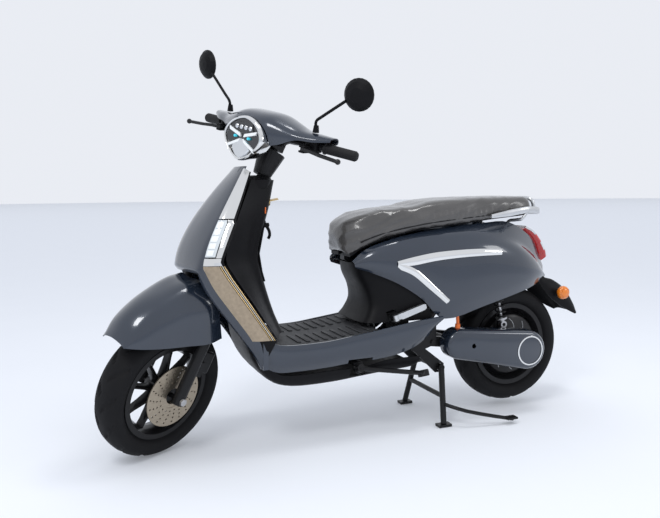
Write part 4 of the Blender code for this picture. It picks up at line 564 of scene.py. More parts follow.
HUB_HALF = 0.056
HUB_TURN = math.radians(22)  # of the first spoke
barrel = turned("barrel", wheel_barrel(), 96)
hub = turned(
    "hub",
    [(AXLE_RADIUS + 0.0006, HUB_HALF), (AXLE_RADIUS + 0.0006, -HUB_HALF), (0.021, -HUB_HALF), (0.024, -0.052),
     (0.026, -0.034), (0.034, -0.028), (0.036, 0.028), (0.036, HUB_HALF - 0.002), (0.034, HUB_HALF)],
    48,
)
spokes = []
for k in range(SPOKES):
    turn = Matrix.Rotation(2 * math.pi * k / SPOKES - HUB_TURN, 4, "Z")
    rings = []
    for radius, across, deep in ((0.028, 0.0100, 0.022), (0.050, 0.0078, 0.019), (0.080, 0.0062, 0.016),
                                 (0.115, 0.0062, 0.013), (RIM_SEAT - 0.011, 0.0085, 0.012)):
        ring = [(-across, -deep), (across, -deep), (across * 0.95, deep * 0.75), (across * 0.55, deep),
                (-across * 0.55, deep), (-across * 0.95, deep * 0.75)]
        rings.append([turn @ Vector((radius, u, v)) for u, v in ring])
    spokes.append(lofted("spoke", rings))
front_rim = union(hub, *spokes)
front_rim = union(barrel, front_rim)
finish(along_y(front_rim, FRONT_AXLE), "front_rim", edge=0.0012)
tyre("front_tyre", FRONT_AXLE)

HOLE_ROWS, HOLES_ROUND, HOLE_RADIUS = (0.052, 0.066, 0.080, 0.093), 18, 0.0032
DISC_HALF = 0.0022  # half its thickness
holes = []
for row, radius in enumerate(HOLE_ROWS):
    for k in range(HOLES_ROUND):
        at = polar(radius, 2 * math.pi * (k + 0.5 * (row % 2)) / HOLES_ROUND + 0.12 * row, DISC_Y)
        holes.append(cylinder("hole", at - Vector((0, 0, 0.01)), at + Vector((0, 0, 0.01)), HOLE_RADIUS, 8))
disc_ring = turned(
    "disc",
    [(0.040, DISC_Y - DISC_HALF), (0.040, DISC_Y + DISC_HALF), (DISC_RADIUS, DISC_Y + DISC_HALF),
     (DISC_RADIUS, DISC_Y - DISC_HALF)],
    90,
)
disc_ring = cut(disc_ring, union(*holes))
carrier = turned(
    "carrier",
    [(0.027, HUB_HALF + GAP), (0.027, DISC_Y + 0.001), (0.044, DISC_Y + 0.0012), (0.044, DISC_Y - 0.0012),
     (0.035, HUB_HALF + GAP)],
    60,
)
finish(along_y(union(disc_ring, carrier), FRONT_AXLE), "brake_disc")
for k in range(6):
    at = polar(0.036, 2 * math.pi * k / 6, DISC_Y + 0.001)
    bolt = cylinder("disc_bolt", at, at + Vector((0, 0, 0.004)), 0.0048, 6)
    extra(along_y(bolt, FRONT_AXLE), "disc_bolt_%d" % k, "front_wheel", "bare_steel", edge=0.0005)
nut = cylinder("nut", (0, LEG_Y + 0.0008, 0), (0, LEG_Y + 0.010, 0), 0.013, 6)
nut.matrix_world = Matrix.Translation(FRONT_AXLE + Vector((0, 0.016, 0))) @ nut.matrix_world
extra(nut, "front_axle_nut", "fork", "bare_steel", edge=0.001)

MOTOR_RADIUS = 0.118
MOTOR_FACE = [  # radius and half width, from the axle out to the rim
    (AXLE_RADIUS + 0.0008, 0.060), (0.035, 0.060), (0.040, 0.054), (0.055, 0.046),
    (MOTOR_RADIUS - 0.010, 0.042), (MOTOR_RADIUS, 0.036), (MOTOR_RADIUS + 0.006, 0.020),
    (RIM_SEAT - 0.018, 0.012),
]
rear_hub = turned(
    "rear_hub",
    [(AXLE_RADIUS + 0.0008, 0.060)] + [(r, -w) for r, w in MOTOR_FACE]
    + wheel_barrel()[9::-1] + [(RIM_SEAT - 0.004, RIM_HALF_WIDTH)] + MOTOR_FACE[:0:-1],
    120,
)
finish(along_y(rear_hub, REAR_AXLE), "rear_hub_motor")
tyre("rear_tyre", REAR_AXLE)
HUB_LINES, LINE_SWEEP = 10, 0.30
LINE_IN, LINE_OUT = 0.060, MOTOR_RADIUS - 0.014  # radii between which the lines run
for face in (1, -1):
    for k in range(HUB_LINES):
        start = 2 * math.pi * k / HUB_LINES + 0.1
        route = []
        for step in range(7):
            share = step / 6
            deep = 0.0462 - 0.0038 * share
            radius = LINE_IN + (LINE_OUT - LINE_IN) * share
            route.append(polar(radius, start + LINE_SWEEP * share * share, face * deep))
        line = tube("line", route, 0.0011, 2, per_span=2)
        extra(along_y(line, REAR_AXLE), "hub_line_%d_%d" % (k, face + 1), "rear_wheel", "silver_alloy")
        at = polar(0.109, start - 0.12, face * 0.0405)
        bolt = cylinder("bolt", at, at + Vector((0, 0, face * 0.0030)), 0.0034, 6)
        name = "hub_bolt_%d_%d" % (k, face + 1)
        extra(along_y(bolt, REAR_AXLE), name, "rear_wheel", "bare_steel", edge=0.0004)

# ---------------------------------------------------------------- cowl and headlight
COWL_STATIONS = (  # Y, centre X and Z, half depth, half height, angle of the front lower edge
    (0.000, 1.012, 1.080, 0.088, 0.062, -38), (0.060, 1.010, 1.079, 0.086, 0.060, -38),
    (0.110, 1.003, 1.075, 0.072, 0.048, -26), (0.162, 0.994, 1.072, 0.054, 0.034, 2),
    (0.215, 0.984, 1.076, 0.042, 0.026, 2), (0.262, 0.972, 1.086, 0.022, 0.013, 0),
)
COWL_ANGLES = (25, 60, 90, 120, 155, 188, 218)  # on over the top to the rear lower edge


def cowl_ring(y, x, z, deep, high, first):
    ring = []
    for angle in (first, (first + 25) / 2, *COWL_ANGLES):
        c, s = rounded(math.radians(angle))
        ring.append((x + deep * c, y, z + high * s))
    return ring


cowl_half = [cowl_ring(*station) for station in COWL_STATIONS]
cowl_rows = [mirrored(ring) for ring in reversed(cowl_half)] + cowl_half[1:]
cowl = shell("cowl", net(cowl_rows, per_column=3), WALL, flip=True)
HEAD_FRONT = Vector((1.118, 0, 1.052))  # middle of the headlight's face
HEAD_TILT = Matrix.Rotation(math.radians(-6), 4, "Y")
HEAD_HALF = (0.086, 0.074)  # half width and half height


def head_ring(depth, scale, drop=0.0, steps=72):
    """The headlight's rounded outline, a distance behind its face."""
    ring = []
    for k in range(steps):
        turn = 2 * math.pi * k / steps
        pull = 1 / (abs(math.cos(turn)) ** 1.5 + abs(math.sin(turn)) ** 1.5) ** (1 / 2.3)
        u = HEAD_HALF[0] * scale * pull * math.cos(turn) * (1 + 0.13 * math.sin(turn))
        v = HEAD_HALF[1] * scale * pull * math.sin(turn) * (0.98 if math.sin(turn) > 0 else 1.0)
        ring.append(HEAD_FRONT + HEAD_TILT @ Vector((-depth, u, v - drop)))
    return ring


bezel = lofted("headlight", [head_ring(-0.002, 0.90), head_ring(-0.004, 0.94), head_ring(0.0, 0.985),
                             head_ring(0.012, 1.0), head_ring(0.060, 0.86, 0.002)])
bowl = lofted("bowl", [head_ring(-0.03, 0.88), head_ring(0.004, 0.88), head_ring(0.030, 0.62)])
bezel = cut(bezel, bowl)
finish(bezel, "headlight", LOOKS["chrome"])
head_room = lofted("head_room", [head_ring(-0.03, 1.03), head_ring(0.012, 1.03), head_ring(0.064, 0.90)])
cowl = cut(cowl, head_room)
finish(cowl, "handlebar_cowl")


def on_face(u, v, depth=0.0):
    return HEAD_FRONT + HEAD_TILT @ Vector((-depth, u, v))


plate_back = lofted("pod_back", [head_ring(0.0030, 0.865), head_ring(0.0060, 0.865)])
extra(plate_back, "headlight_pods", "steering", "black_plastic", DARK_LENS, 0.0008)
BAR_OUTLINE = ((-0.046, 0.022), (0.046, 0.022), (0.036, 0.050), (-0.036, 0.050))
upper = lofted("led_bar", [[on_face(u, v, d) for u, v in BAR_OUTLINE] for d in (-0.001, 0.012)])
extra(upper, "headlight_top_lens", "steering", "black_plastic", DARK_LENS, 0.002)
EYE_PROFILE = ((0, 0.002), (0.005, 0.0012), (0.0072, -0.001), (0.0072, -0.006), (0, -0.006))
for k in range(4):
    eye = turned("eye", EYE_PROFILE, 24, closed=False)
    eye_at = Matrix.Translation(on_face(-0.030 + 0.020 * k, 0.034, -0.003))
    eye.matrix_world = eye_at @ turned_to(HEAD_TILT @ Vector((1, 0, 0)))
    extra(eye, "headlight_eye_%d" % k, "steering", "lamp_chrome")
for side, word in SIDES:
    for up, tall, name in ((1, 0.024, "upper"), (-1, 0.034, "lower")):
        outline = ((0.006, 0.002), (0.058, tall - 0.006), (0.062, tall + 0.006), (0.010, 0.014))
        rings = [[on_face(side * u, up * v, d) for u, v in outline] for d in (-0.004, 0.004)]
        blade = lofted("blade", rings)
        extra(blade, "headlight_cross_%s_%s" % (name, word), "steering", "clear_lens", WHITE_LIGHT, 0.0012)
    dot = cylinder("dot", *[on_face(side * 0.030, 0.002, d) for d in (-0.006, 0.004)], 0.0045, 20)
    extra(dot, "headlight_dot_" + word, "steering", "clear_lens", CYAN_DOT, 0.0008)
REFLECTOR = ((-0.0035, 0.40), (-0.0010, 0.44), (0.004, 0.46))  # depth behind the face, and scale
REFLECTOR_DROP = 0.034
rings = [head_ring(depth, scale, REFLECTOR_DROP) for depth, scale in REFLECTOR]
extra(lofted("reflector", rings), "headlight_reflector", "steering", "lamp_chrome")

# ---------------------------------------------------------------- front fender
FENDER_ROWS = (  # per station from the tip back: ridge X Z, shoulder Y Z, side Y Z, hem Y Z and hem X
    ((1.572, 0.462), (0.030, 0.458), (0.046, 0.452), (0.052, 0.446), 1.568),
    ((1.535, 0.516), (0.050, 0.500), (0.073, 0.468), (0.080, 0.440), 1.520),
    ((1.475, 0.556), (0.058, 0.540), (0.088, 0.490), (0.097, 0.430), 1.450),
    ((1.405, 0.583), (0.060, 0.572), (0.098, 0.515), (0.112, 0.422), 1.370),
    ((1.345, 0.600), (0.060, 0.592), (0.113, 0.530), (0.1300, 0.418), 1.300),
    ((1.290, 0.604), (0.058, 0.598), (0.112, 0.545), (0.1300, 0.424), 1.245),
)
fender_rows = []
for (rx, rz), (sy, sz), (wy, wz), (hy, hz), hx in FENDER_ROWS:
    back = rx - hx
    half = [(rx, 0, rz), (rx - 0.25 * back, sy, sz), (rx - 0.6 * back, wy, wz), (hx, hy, hz)]
    fender_rows.append(both_sides(half))
fender = shell("fender", net(fender_rows, per_row=8, per_column=6), WALL, flip=True)
finish(fender, "front_fender")

# ---------------------------------------------------------------- leg shield
SHIELD_LEVELS = (  # Z, then X and Y of six points from the middle to the outer edge
    (0.950, (1.098, 0), (1.096, 0.022), (1.092, 0.045), (1.088, 0.062), (1.084, 0.072), (1.080, 0.080)),
    (0.870, (1.172, 0), (1.166, 0.038), (1.156, 0.074), (1.145, 0.100), (1.137, 0.113), (1.129, 0.123)),
    (0.780, (1.243, 0), (1.234, 0.050), (1.220, 0.097), (1.203, 0.136), (1.194, 0.152), (1.184, 0.163)),
    (0.700, (1.288, 0), (1.278, 0.056), (1.262, 0.110), (1.244, 0.156), (1.234, 0.172), (1.222, 0.184)),
    (0.640, (1.306, 0), (1.296, 0.058), (1.281, 0.114), (1.264, 0.164), (1.252, 0.181), (1.238, 0.193)),
    (0.616, (1.300, 0), (1.292, 0.058), (1.279, 0.114), (1.264, 0.167), (1.246, 0.184), (1.228, 0.197)),
    (0.560, (1.250, 0), (1.250, 0.058), (1.250, 0.114), (1.244, 0.168), (1.220, 0.186), (1.192, 0.199)),
    (0.480, (1.190, 0), (1.190, 0.058), (1.190, 0.114), (1.190, 0.169), (1.165, 0.187), (1.137, 0.200)),
    (0.400, (1.130, 0), (1.130, 0.058), (1.130, 0.114), (1.133, 0.169), (1.110, 0.187), (1.083, 0.199)),
    (0.340, (1.090, 0), (1.090, 0.058), (1.090, 0.114), (1.092, 0.168), (1.079, 0.186), (1.066, 0.195)),
    (0.292, (1.066, 0), (1.066, 0.058), (1.066, 0.114), (1.068, 0.164), (1.065, 0.172), (1.062, 0.180)),
)
LIP_LEVEL = 5


def not_wheel_arch(row, column):
    """The middle of the shield ends at the lip, and only its side walls go on down."""
    return row < LIP_LEVEL * FINE or not 2 * FINE <= column < 8 * FINE


finish(shell("leg_shield", net(level_rows(SHIELD_LEVELS)), keep=not_wheel_arch), "leg_shield")
STRIP_REAR = (  # the strip's rear edge, from the top down
    (1.068, 0.092, 0.930), (1.108, 0.139, 0.846), (1.142, 0.172, 0.775), (1.140, 0.180, 0.768),
    (1.176, 0.203, 0.694), (1.189, 0.206, 0.664), (1.192, 0.206, 0.650), (1.162, 0.207, 0.598),
    (1.094, 0.208, 0.496), (1.024, 0.205, 0.388),
)


def at_height(route, z):
    """The point of a route of points at height z."""
    for a, b in zip(route, route[1:]):
        if a.z >= z >= b.z:
            return a.lerp(b, (a.z - z) / (a.z - b.z))
    return route[-1].copy() if z < route[-1].z else route[0].copy()


def shield_line(point):
    """A smooth line down the leg shield through one point of each of its levels."""
    return spline([Vector((*level[point], level[0])) for level in SHIELD_LEVELS], 8)


SHIELD_EDGE, SHIELD_NEAR = shield_line(-1), shield_line(-2)
REAR_EDGE = [Vector(p) for p in STRIP_REAR]
CROWN = 0.0012  # how far the middle of a strip stands above its edges
OUT_WAY = Vector((0.45, 0.9, 0)).normalized()


def band(side, heights, first, last, lift, across=6):
    """Rows of points between two shares of the way from the shield's face to the strip's rear edge."""
    rows = []
    for k in range(across + 1):
        share = first + (last - first) * k / across
        crown = math.sin(math.pi * k / across) * CROWN
        row = []
        for z in heights:
            near, edge, rear = [at_height(route, z) for route in (SHIELD_NEAR, SHIELD_EDGE, REAR_EDGE)]
            point = near.lerp(edge, share * 2) if share < 0.5 else edge.lerp(rear, share * 2 - 1)
            row.append(side_of(point + OUT_WAY * (lift + crown), side))
        rows.append(row)
    return rows[::-1]


def heights(top, foot, count):
    return [top + (foot - top) * k / count for k in range(count + 1)]


def strip(side, top, foot, count, first, last, lift, thick=0.004, across=6):
    """A thin strip on the shield's edge between two heights and two shares of its width."""
    grid = band(side, heights(top, foot, count), first, last, lift, across)
    return shell("strip", grid, thick, flip=side > 0)


LAMP_TOP, TRIM_FOOT = 0.779, 0.640
LOW_STRIP = (0.6385, 0.392, 60)  # top, foot and steps of the strip below the corner
LAMP_CELLS, CELL_TOP, CELL_PITCH, CELL_TALL = 5, 0.773, 0.0212, 0.0165
STRIP_LINES = (  # name, first and last share of the width, look and slot
    ("gold", 0.845, 0.875, GOLD_LINE, "key_brass"), ("cream", 0.905, 0.925, CREAM_LINE, "silver_alloy"),
    ("gold_edge", 0.955, 0.985, GOLD_LINE, "key_brass"),
)
for side, word in SIDES:
    # A black sheet 3 mm under the strip, from the middle of the shield's edge to the strip's rear edge:
    # painted shade that stands for the dark seam between shield and strip.
    gap_shade_sheet = strip(side, 0.940, 0.310, 90, 0.45, 1.0, -0.0030, 0.003)
    extra(gap_shade_sheet, "strip_gap_shade_" + word, "body", "black_plastic")
    upper = strip(side, 0.942, 0.783, 40, 0.10, 0.92, 0.0016)
    edge_line = strip(side, LAMP_TOP, 0.664, 40, 0.74, 0.92, 0.0016)
    corner = strip(side, 0.6625, TRIM_FOOT, 14, 0.10, 0.92, 0.0022)
    finish(union(upper, edge_line, corner), "shield_trim_" + word)
    finish(strip(side, LAMP_TOP, 0.667, 40, 0.12, 0.71, 0.0022, 0.005), "front_signal_" + word)
    for k in range(LAMP_CELLS):
        top = CELL_TOP - CELL_PITCH * k
        cell = strip(side, top, top - CELL_TALL, 6, 0.22, 0.62, 0.0036, 0.003, across=4)
        extra(cell, "front_signal_cell_%s_%d" % (word, k), "body", "clear_lens", WHITE_LIGHT)
    low = strip(side, *LOW_STRIP, 0.10, 0.83, 0.0018)
    extra(low, "shield_low_strip_" + word, "body", "disc_steel", SPECKLE)
    for name, first, last, look, slot in STRIP_LINES:
        line = strip(side, *LOW_STRIP, first, last, 0.0022, 0.003, across=2)
        extra(line, "shield_%s_line_%s" % (name, word), "body", slot, look)
    rows = [
        [side_of(Vector((1.067 - 0.0022 * i, 0.1945 - 0.0045 * (k / 5) ** 2 * 2, 0.386 - 0.0185 * k)), side)
         for k in range(6)]
        for i in range(9)
    ]
    extra(shell("corner_cover", rows, 0.003, flip=side > 0), "shield_corner_" + word, "body", "body_paint")

# ---------------------------------------------------------------- inner shield, neck shroud and tag
INNER_LEVELS = (  # Z, then X and Y from the middle to the outer edge
    (0.905, (0.966, 0), (0.976, 0.038), (1.008, 0.058), (1.040, 0.070), (1.064, 0.082)),
    (0.810, (0.990, 0), (1.002, 0.056), (1.045, 0.088), (1.085, 0.120), (1.118, 0.148)),
    (0.740, (1.012, 0), (1.024, 0.063), (1.068, 0.098), (1.115, 0.145), (1.152, 0.178)),
    (0.660, (1.030, 0), (1.042, 0.067), (1.085, 0.104), (1.138, 0.158), (1.180, 0.194)),
    (0.600, (1.022, 0), (1.034, 0.070), (1.068, 0.107), (1.115, 0.162), (1.152, 0.197)),
    (0.520, (1.002, 0), (1.013, 0.072), (1.042, 0.109), (1.075, 0.162), (1.100, 0.198)),
    (0.450, (0.980, 0), (0.990, 0.074), (1.014, 0.111), (1.038, 0.162), (1.056, 0.196)),
    (0.392, (0.955, 0), (0.964, 0.076), (0.985, 0.113), (1.004, 0.160), (1.018, 0.192)),
)
inner_shield = shell("inner_shield", net(level_rows(INNER_LEVELS)), flip=True)
KEY_AT = Vector((0.994, 0.030, 0.835))
KEY_AXIS = Vector((-0.93, 0.18, 0.18)).normalized()
lock_hole = cylinder("lock_hole", KEY_AT - KEY_AXIS * 0.05, KEY_AT + KEY_AXIS * 0.05, 0.0115, 32)
inner_shield = cut(inner_shield, lock_hole)
finish(inner_shield, "inner_shield")
SURROUND = ((0.0118, 0.0), (0.0118, 0.003), (0.0165, 0.0032), (0.0175, 0.001), (0.0175, -0.001))
ring = turned("key_ring", SURROUND, 40)
ring.matrix_world = Matrix.Translation(KEY_AT + KEY_AXIS * 0.0015) @ turned_to(KEY_AXIS)
extra(ring, "lock_surround", "body", "key_brass")

SHROUD_RINGS = (  # height, half length, half width and X of the middle
    (0.878, 0.064, 0.078, 1.052), (0.905, 0.060, 0.074, 1.036), (0.918, 0.046, 0.054, 1.028),
    (0.921, 0.036, 0.040, 1.026),
)
SHROUD_STEPS = 48
rings = []
for z, reach_x, reach_y, middle in SHROUD_RINGS:
    spread = [rounded(2 * math.pi * k / SHROUD_STEPS) for k in range(SHROUD_STEPS)]
    rings.append([Vector((middle + reach_x * c, reach_y * s, z)) for c, s in spread])
extra(lofted("shroud", rings), "neck_shroud", "body", "black_plastic")
TAG_TURN = Matrix.Rotation(math.radians(52), 4, "Z")
tag = block("tag", (1.0175, 0.0655, 0.804), (0.003, 0.013, 0.021), TAG_TURN, 0.0008)
extra(tag, "plain_tag", "body", "orange_cable")

# ---------------------------------------------------------------- floor, skirts and belly
FLOOR_HALF = 0.178
FLOOR_STATIONS = (  # X and Z from the front back
    (1.034, 0.379), (1.000, 0.370), (0.950, 0.365), (0.840, 0.366), (0.750, 0.374), (0.648, 0.388),
)
floor_rows = [both_sides([(x, FLOOR_HALF * share, z) for share in (0, 0.5, 1)]) for x, z in FLOOR_STATIONS]
floorboard = shell("floorboard", net(floor_rows), 0.008, flip=True)
tube_room = block("tube_room", (1.012, 0, 0.370), (0.096, 2 * DOWN_TUBE + 0.012, 0.080))
finish(cut(floorboard, tube_room), "floorboard")


def floor_height(x):
    for (a, za), (b, zb) in zip(FLOOR_STATIONS, FLOOR_STATIONS[1:]):
        if a >= x >= b:
            return za + (zb - za) * (a - x) / (a - b)
    return FLOOR_STATIONS[-1][1]


BAR_ROWS, BAR_PITCH, BAR_SIZE = 9, 0.032, (0.014, 0.120, 0.0040)
bars = []
for k in range(BAR_ROWS):
    x = 0.930 - BAR_PITCH * k
    for side in (1, -1):
        bars.append(block("bar", (x, side * 0.095, floor_height(x) + 0.0012), BAR_SIZE, bevel=0.0014))
extra(union(bars[0], *bars[1:]), "floor_bars", "body", "floor_mat")
SKIRT_TOP = (  # X and Z along its upper edge, from the front back
    (1.056, 0.386), (1.010, 0.368), (0.950, 0.362), (0.840, 0.364), (0.745, 0.375), (0.650, 0.387),
    (0.556, 0.400), (0.480, 0.409), (0.398, 0.416),
)
SKIRT_HEM = (
    (1.050, 0.292), (1.005, 0.274), (0.920, 0.272), (0.830, 0.275), (0.765, 0.280), (0.620, 0.287),
    (0.523, 0.307), (0.463, 0.339), (0.400, 0.400),
)
SKIRT_FLANGE = 0.1815


def skirt_rows(side):
    rows = [[(x, 0.170, z) for x, z in SKIRT_HEM]]
    for share, y in ((0.28, 0.1845), (0.65, 0.1935)):
        rows.append([(x * (1 - share) + u * share, y, z * (1 - share) + w * share)
                     for (x, z), (u, w) in zip(SKIRT_HEM, SKIRT_TOP)])
    rows.append([(x, 0.1905, z) for x, z in SKIRT_TOP])
    rows.append([(x, SKIRT_FLANGE, z + 0.003) for x, z in SKIRT_TOP])
    return [[side_of(Vector(p), side) for p in row] for row in rows]


for side, word in SIDES:
    skirt = shell("skirt", net(skirt_rows(side)), flip=side < 0)
    notch = block("notch", (0.716, side * 0.18, 0.268), (0.092, 0.06, 0.052))
    finish(cut(skirt, notch), "side_skirt_" + word)
BELLY_STATIONS = (  # X and Z of the base line, the way in, and how deep the edges stand
    ((1.113, 0.520), (-1.0, 0.10), 0.030), ((1.112, 0.420), (-1.0, 0.15), 0.032),
    ((1.088, 0.315), (-0.85, 0.5), 0.034), ((1.030, 0.238), (-0.5, 0.85), 0.036),
    ((0.950, 0.208), (-0.1, 1.0), 0.046), ((0.812, 0.206), (0, 1.0), 0.050),
    ((0.693, 0.215), (0, 1.0), 0.042), ((0.600, 0.222), (0, 1.0), 0.050),
    ((0.500, 0.228), (0, 1.0), 0.046), ((0.472, 0.238), (0, 1.0), 0.036),
)
belly_rows = []
for (x, z), way, depth in BELLY_STATIONS:
    way = Vector((way[0], 0, way[1])).normalized()
    half = [Vector((x, y, z)) + way * rise for y, rise in
            ((0, 0), (0.070, 0), (0.126, 0.004), (0.146, depth * 0.55), (0.152, depth))]
    belly_rows.append(both_sides(half))
belly = shell("belly", net(belly_rows))
finish(cut(belly, block("prop_room", (0.712, 0.150, 0.262), (0.064, 0.060, 0.076))), "belly_pan")

# ---------------------------------------------------------------- body under the seat
COVER_LEVELS = (  # Z, then X and Y from the middle round to the rear edge
    (0.612, (0.700, 0), (0.697, 0.050), (0.680, 0.088), (0.655, 0.104), (0.640, 0.109)),
    (0.570, (0.690, 0), (0.686, 0.060), (0.668, 0.096), (0.620, 0.124), (0.580, 0.134)),
    (0.520, (0.664, 0), (0.660, 0.068), (0.642, 0.104), (0.580, 0.134), (0.510, 0.147)),
    (0.470, (0.654, 0), (0.650, 0.076), (0.632, 0.114), (0.560, 0.142), (0.460, 0.152)),
    (0.430, (0.668, 0), (0.664, 0.084), (0.646, 0.124), (0.560, 0.146), (0.430, 0.153)),
    (0.405, (0.690, 0), (0.684, 0.092), (0.660, 0.132), (0.570, 0.148), (0.430, 0.154)),
)
seat_front = shell("seat_front_cover", net(level_rows(COVER_LEVELS)))
PEG_PIVOT = Vector((0.578, 0.170, 0.424))
PEG_DIR = Vector((-0.957, 0, 0.290)).normalized()
PEG_AXIS = Vector((PEG_DIR.z, 0, -PEG_DIR.x)).normalized()
PEG_TILT = Matrix.Rotation(math.atan2(PEG_AXIS.x, PEG_AXIS.z), 4, "Y")
PEG_ROOM_AT, PEG_ROOM = PEG_PIVOT - Vector((0, 0.02, 0)), (0.034, 0.060, 0.044)
rooms = [block("peg_room", side_of(PEG_ROOM_AT, side), PEG_ROOM, PEG_TILT) for side, word in SIDES]
finish(cut(seat_front, *rooms), "seat_front_cover")
PANEL_HEM = (  # X and Z from the front back
    (0.708, 0.600), (0.640, 0.576), (0.556, 0.538), (0.470, 0.482), (0.378, 0.404), (0.206, 0.440),
    (0.021, 0.484), (-0.066, 0.507), (-0.118, 0.520),
)
PANEL_RIDGE = (
    (0.713, 0.618), (0.655, 0.660), (0.570, 0.686), (0.475, 0.702), (0.338, 0.711), (0.200, 0.706),
    (0.070, 0.678), (-0.040, 0.622), (-0.128, 0.534),
)
PANEL_TOP = (
    (0.716, 0.622), (0.668, 0.6635), (0.578, 0.694), (0.475, 0.715), (0.338, 0.731), (0.200, 0.743),
    (0.062, 0.742), (-0.072, 0.672), (-0.148, 0.560),
)
PANEL_Y = (  # rows of Y at the hem, lower, middle, upper, at the ridge and at the top
    (0.112, 0.138, 0.153, 0.161, 0.166, 0.166, 0.152, 0.122, 0.086),
    (0.115, 0.148, 0.167, 0.178, 0.185, 0.185, 0.168, 0.134, 0.092),
    (0.117, 0.151, 0.171, 0.184, 0.191, 0.191, 0.172, 0.136, 0.092),
    (0.116, 0.146, 0.165, 0.177, 0.184, 0.183, 0.162, 0.126, 0.086),
    (0.112, 0.134, 0.150, 0.158, 0.161, 0.157, 0.138, 0.104, 0.072),
    (0.104, 0.118, 0.124, 0.127, 0.128, 0.124, 0.104, 0.070, 0.046),
)
PANEL_SHARES = (0.0, 0.22, 0.50, 0.80, 1.0)


def panel_rows(side):
    rows = []
    for share, widths in zip(PANEL_SHARES, PANEL_Y):
        rows.append([(hx + (rx - hx) * share, y, hz + (rz - hz) * share)
                     for (hx, hz), (rx, rz), y in zip(PANEL_HEM, PANEL_RIDGE, widths)])
    rows.append([(x, y, z) for (x, z), y in zip(PANEL_TOP, PANEL_Y[5])])
    return [[side_of(Vector(p), side) for p in row] for row in rows]


RIDGE_ROW = 4
TRIM_UPPER = (  # X, Z and half width of the angled trim's upper leg
    (0.150, 0.638, 0.010), (0.235, 0.641, 0.0125), (0.330, 0.6395, 0.0135), (0.430, 0.633, 0.0145),
    (0.510, 0.621, 0.0145), (0.572, 0.612, 0.0100),
)
TRIM_LOWER = ((0.552, 0.601, 0.0095), (0.505, 0.577, 0.0085), (0.440, 0.522, 0.0075), (0.378, 0.469, 0.0065))
TRIM_PROFILE = (  # share of the half width, and height above the panel
    (-1, 0.0006), (-1, 0.0030), (-0.4, 0.0058), (0.1, 0.0064), (0.6, 0.0054), (1, 0.0030), (1, 0.0006),
    (0.4, 0.0006), (-0.4, 0.0006),
)


def trim_on(panel):
    """Rings of the angled trim, cast across onto the left panel's outer face."""
    bpy.context.view_layer.update()
    tree = BVHTree.FromObject(panel, bpy.context.evaluated_depsgraph_get())
    rings = []
    for leg, slant in ((TRIM_UPPER, 0.0), (TRIM_LOWER, -0.9)):
        for x, z, half in spline([Vector(p) for p in leg], 8):
            ring = []
            for up, lift in TRIM_PROFILE:
                start = Vector((x + slant * up * half, 0.4, z + up * half))
                ring.append(tree.ray_cast(start, Vector((0, -1, 0)))[0] + Vector((0, lift, 0)))
            rings.append(ring)
    return rings


for side, word in SIDES:
    panel = shell("panel", net(panel_rows(side), row_corners=(RIDGE_ROW,)), flip=side < 0)
    if side > 0:
        trim_rings = trim_on(panel)
    finish(panel, "rear_panel_" + word)
    rings = [[side_of(point, side) for point in ring][::side] for ring in trim_rings]
    finish(lofted("trim", rings), "panel_trim_" + word)

# ---------------------------------------------------------------- tail
TAIL_STATIONS = (  # outer face X and Z, half width
    ((-0.060, 0.722), 0.058), ((-0.088, 0.704), 0.068), ((-0.122, 0.668), 0.066), ((-0.150, 0.630), 0.060),
    ((-0.166, 0.600), 0.050),
)
TAIL_IN = Vector((0.75, 0, -0.66)).normalized()


def tail_rings(stations, profile, lift=0.0, inner_half=None):
    """Rings down the lamp; the profile gives depth and share of the half width, from the face in."""
    rings = []
    for x, z, half in spline([Vector((x, z, half)) for (x, z), half in stations], 6):
        face = Vector((x, 0, z)) - TAIL_IN * lift
        row = [face + TAIL_IN * depth + Vector((0, half * share, 0)) for depth, share in profile]
        if inner_half:
            row.append(face + TAIL_IN * 0.040 + Vector((0, inner_half, 0)))
        rings.append(row + [side_of(p, -1) for p in reversed(row)])
    return rings


TAIL_PROFILE = ((0, 0.8), (0.003, 0.95), (0.010, 1.0), (0.022, 0.9))
CLEAR_PROFILE = ((0, 0.78), (0.004, 0.965), (0.012, 1.012), (0.0165, 0.9))
finish(lofted("tail", tail_rings(TAIL_STATIONS, TAIL_PROFILE, inner_half=0.036)), "tail_light")
clear_rings = tail_rings(TAIL_STATIONS[:4], CLEAR_PROFILE, lift=0.0016)
extra(lofted("tail_clear", clear_rings[:9]), "tail_clear_top", "body", "lamp_chrome", edge=0.001)
extra(lofted("tail_low", clear_rings[13:]), "tail_clear_low", "body", "clear_lens", edge=0.001)
MUDGUARD_STATIONS = (  # ridge X and Z, top half width, side half width, hem X and Z
    (-0.126, 0.590, 0.034, 0.039, -0.112, 0.584), (-0.142, 0.548, 0.034, 0.040, -0.120, 0.540),
    (-0.162, 0.512, 0.040, 0.050, -0.132, 0.492), (-0.205, 0.496, 0.048, 0.066, -0.165, 0.440),
    (-0.262, 0.455, 0.050, 0.068, -0.222, 0.395), (-0.300, 0.400, 0.050, 0.068, -0.272, 0.368),
    (-0.317, 0.362, 0.048, 0.064, -0.303, 0.354),
)
mudguard_rows = []
for rx, rz, top, wide, hx, hz in MUDGUARD_STATIONS:
    mid = ((rx + hx) / 2, wide, (rz + hz) / 2)
    mudguard_rows.append(both_sides([(rx, 0, rz), (rx, top, rz), mid, (hx, wide, hz)]))
finish(shell("mudguard", net(mudguard_rows), flip=True), "rear_mudguard")
SIGNAL_FOOT = 0.0683
SIGNAL_PROFILE = (
    (0, SIGNAL_FOOT), (0.009, SIGNAL_FOOT), (0.009, 0.084), (0.023, 0.086), (0.0265, 0.091), (0.0265, 0.099),
    (0.023, 0.106), (0.013, 0.1115), (0, 0.113),
)
SIGNAL_AT = Vector((-0.2125, 0, 0.452))
GRID_BARS, GRID_PITCH = 5, 0.0075
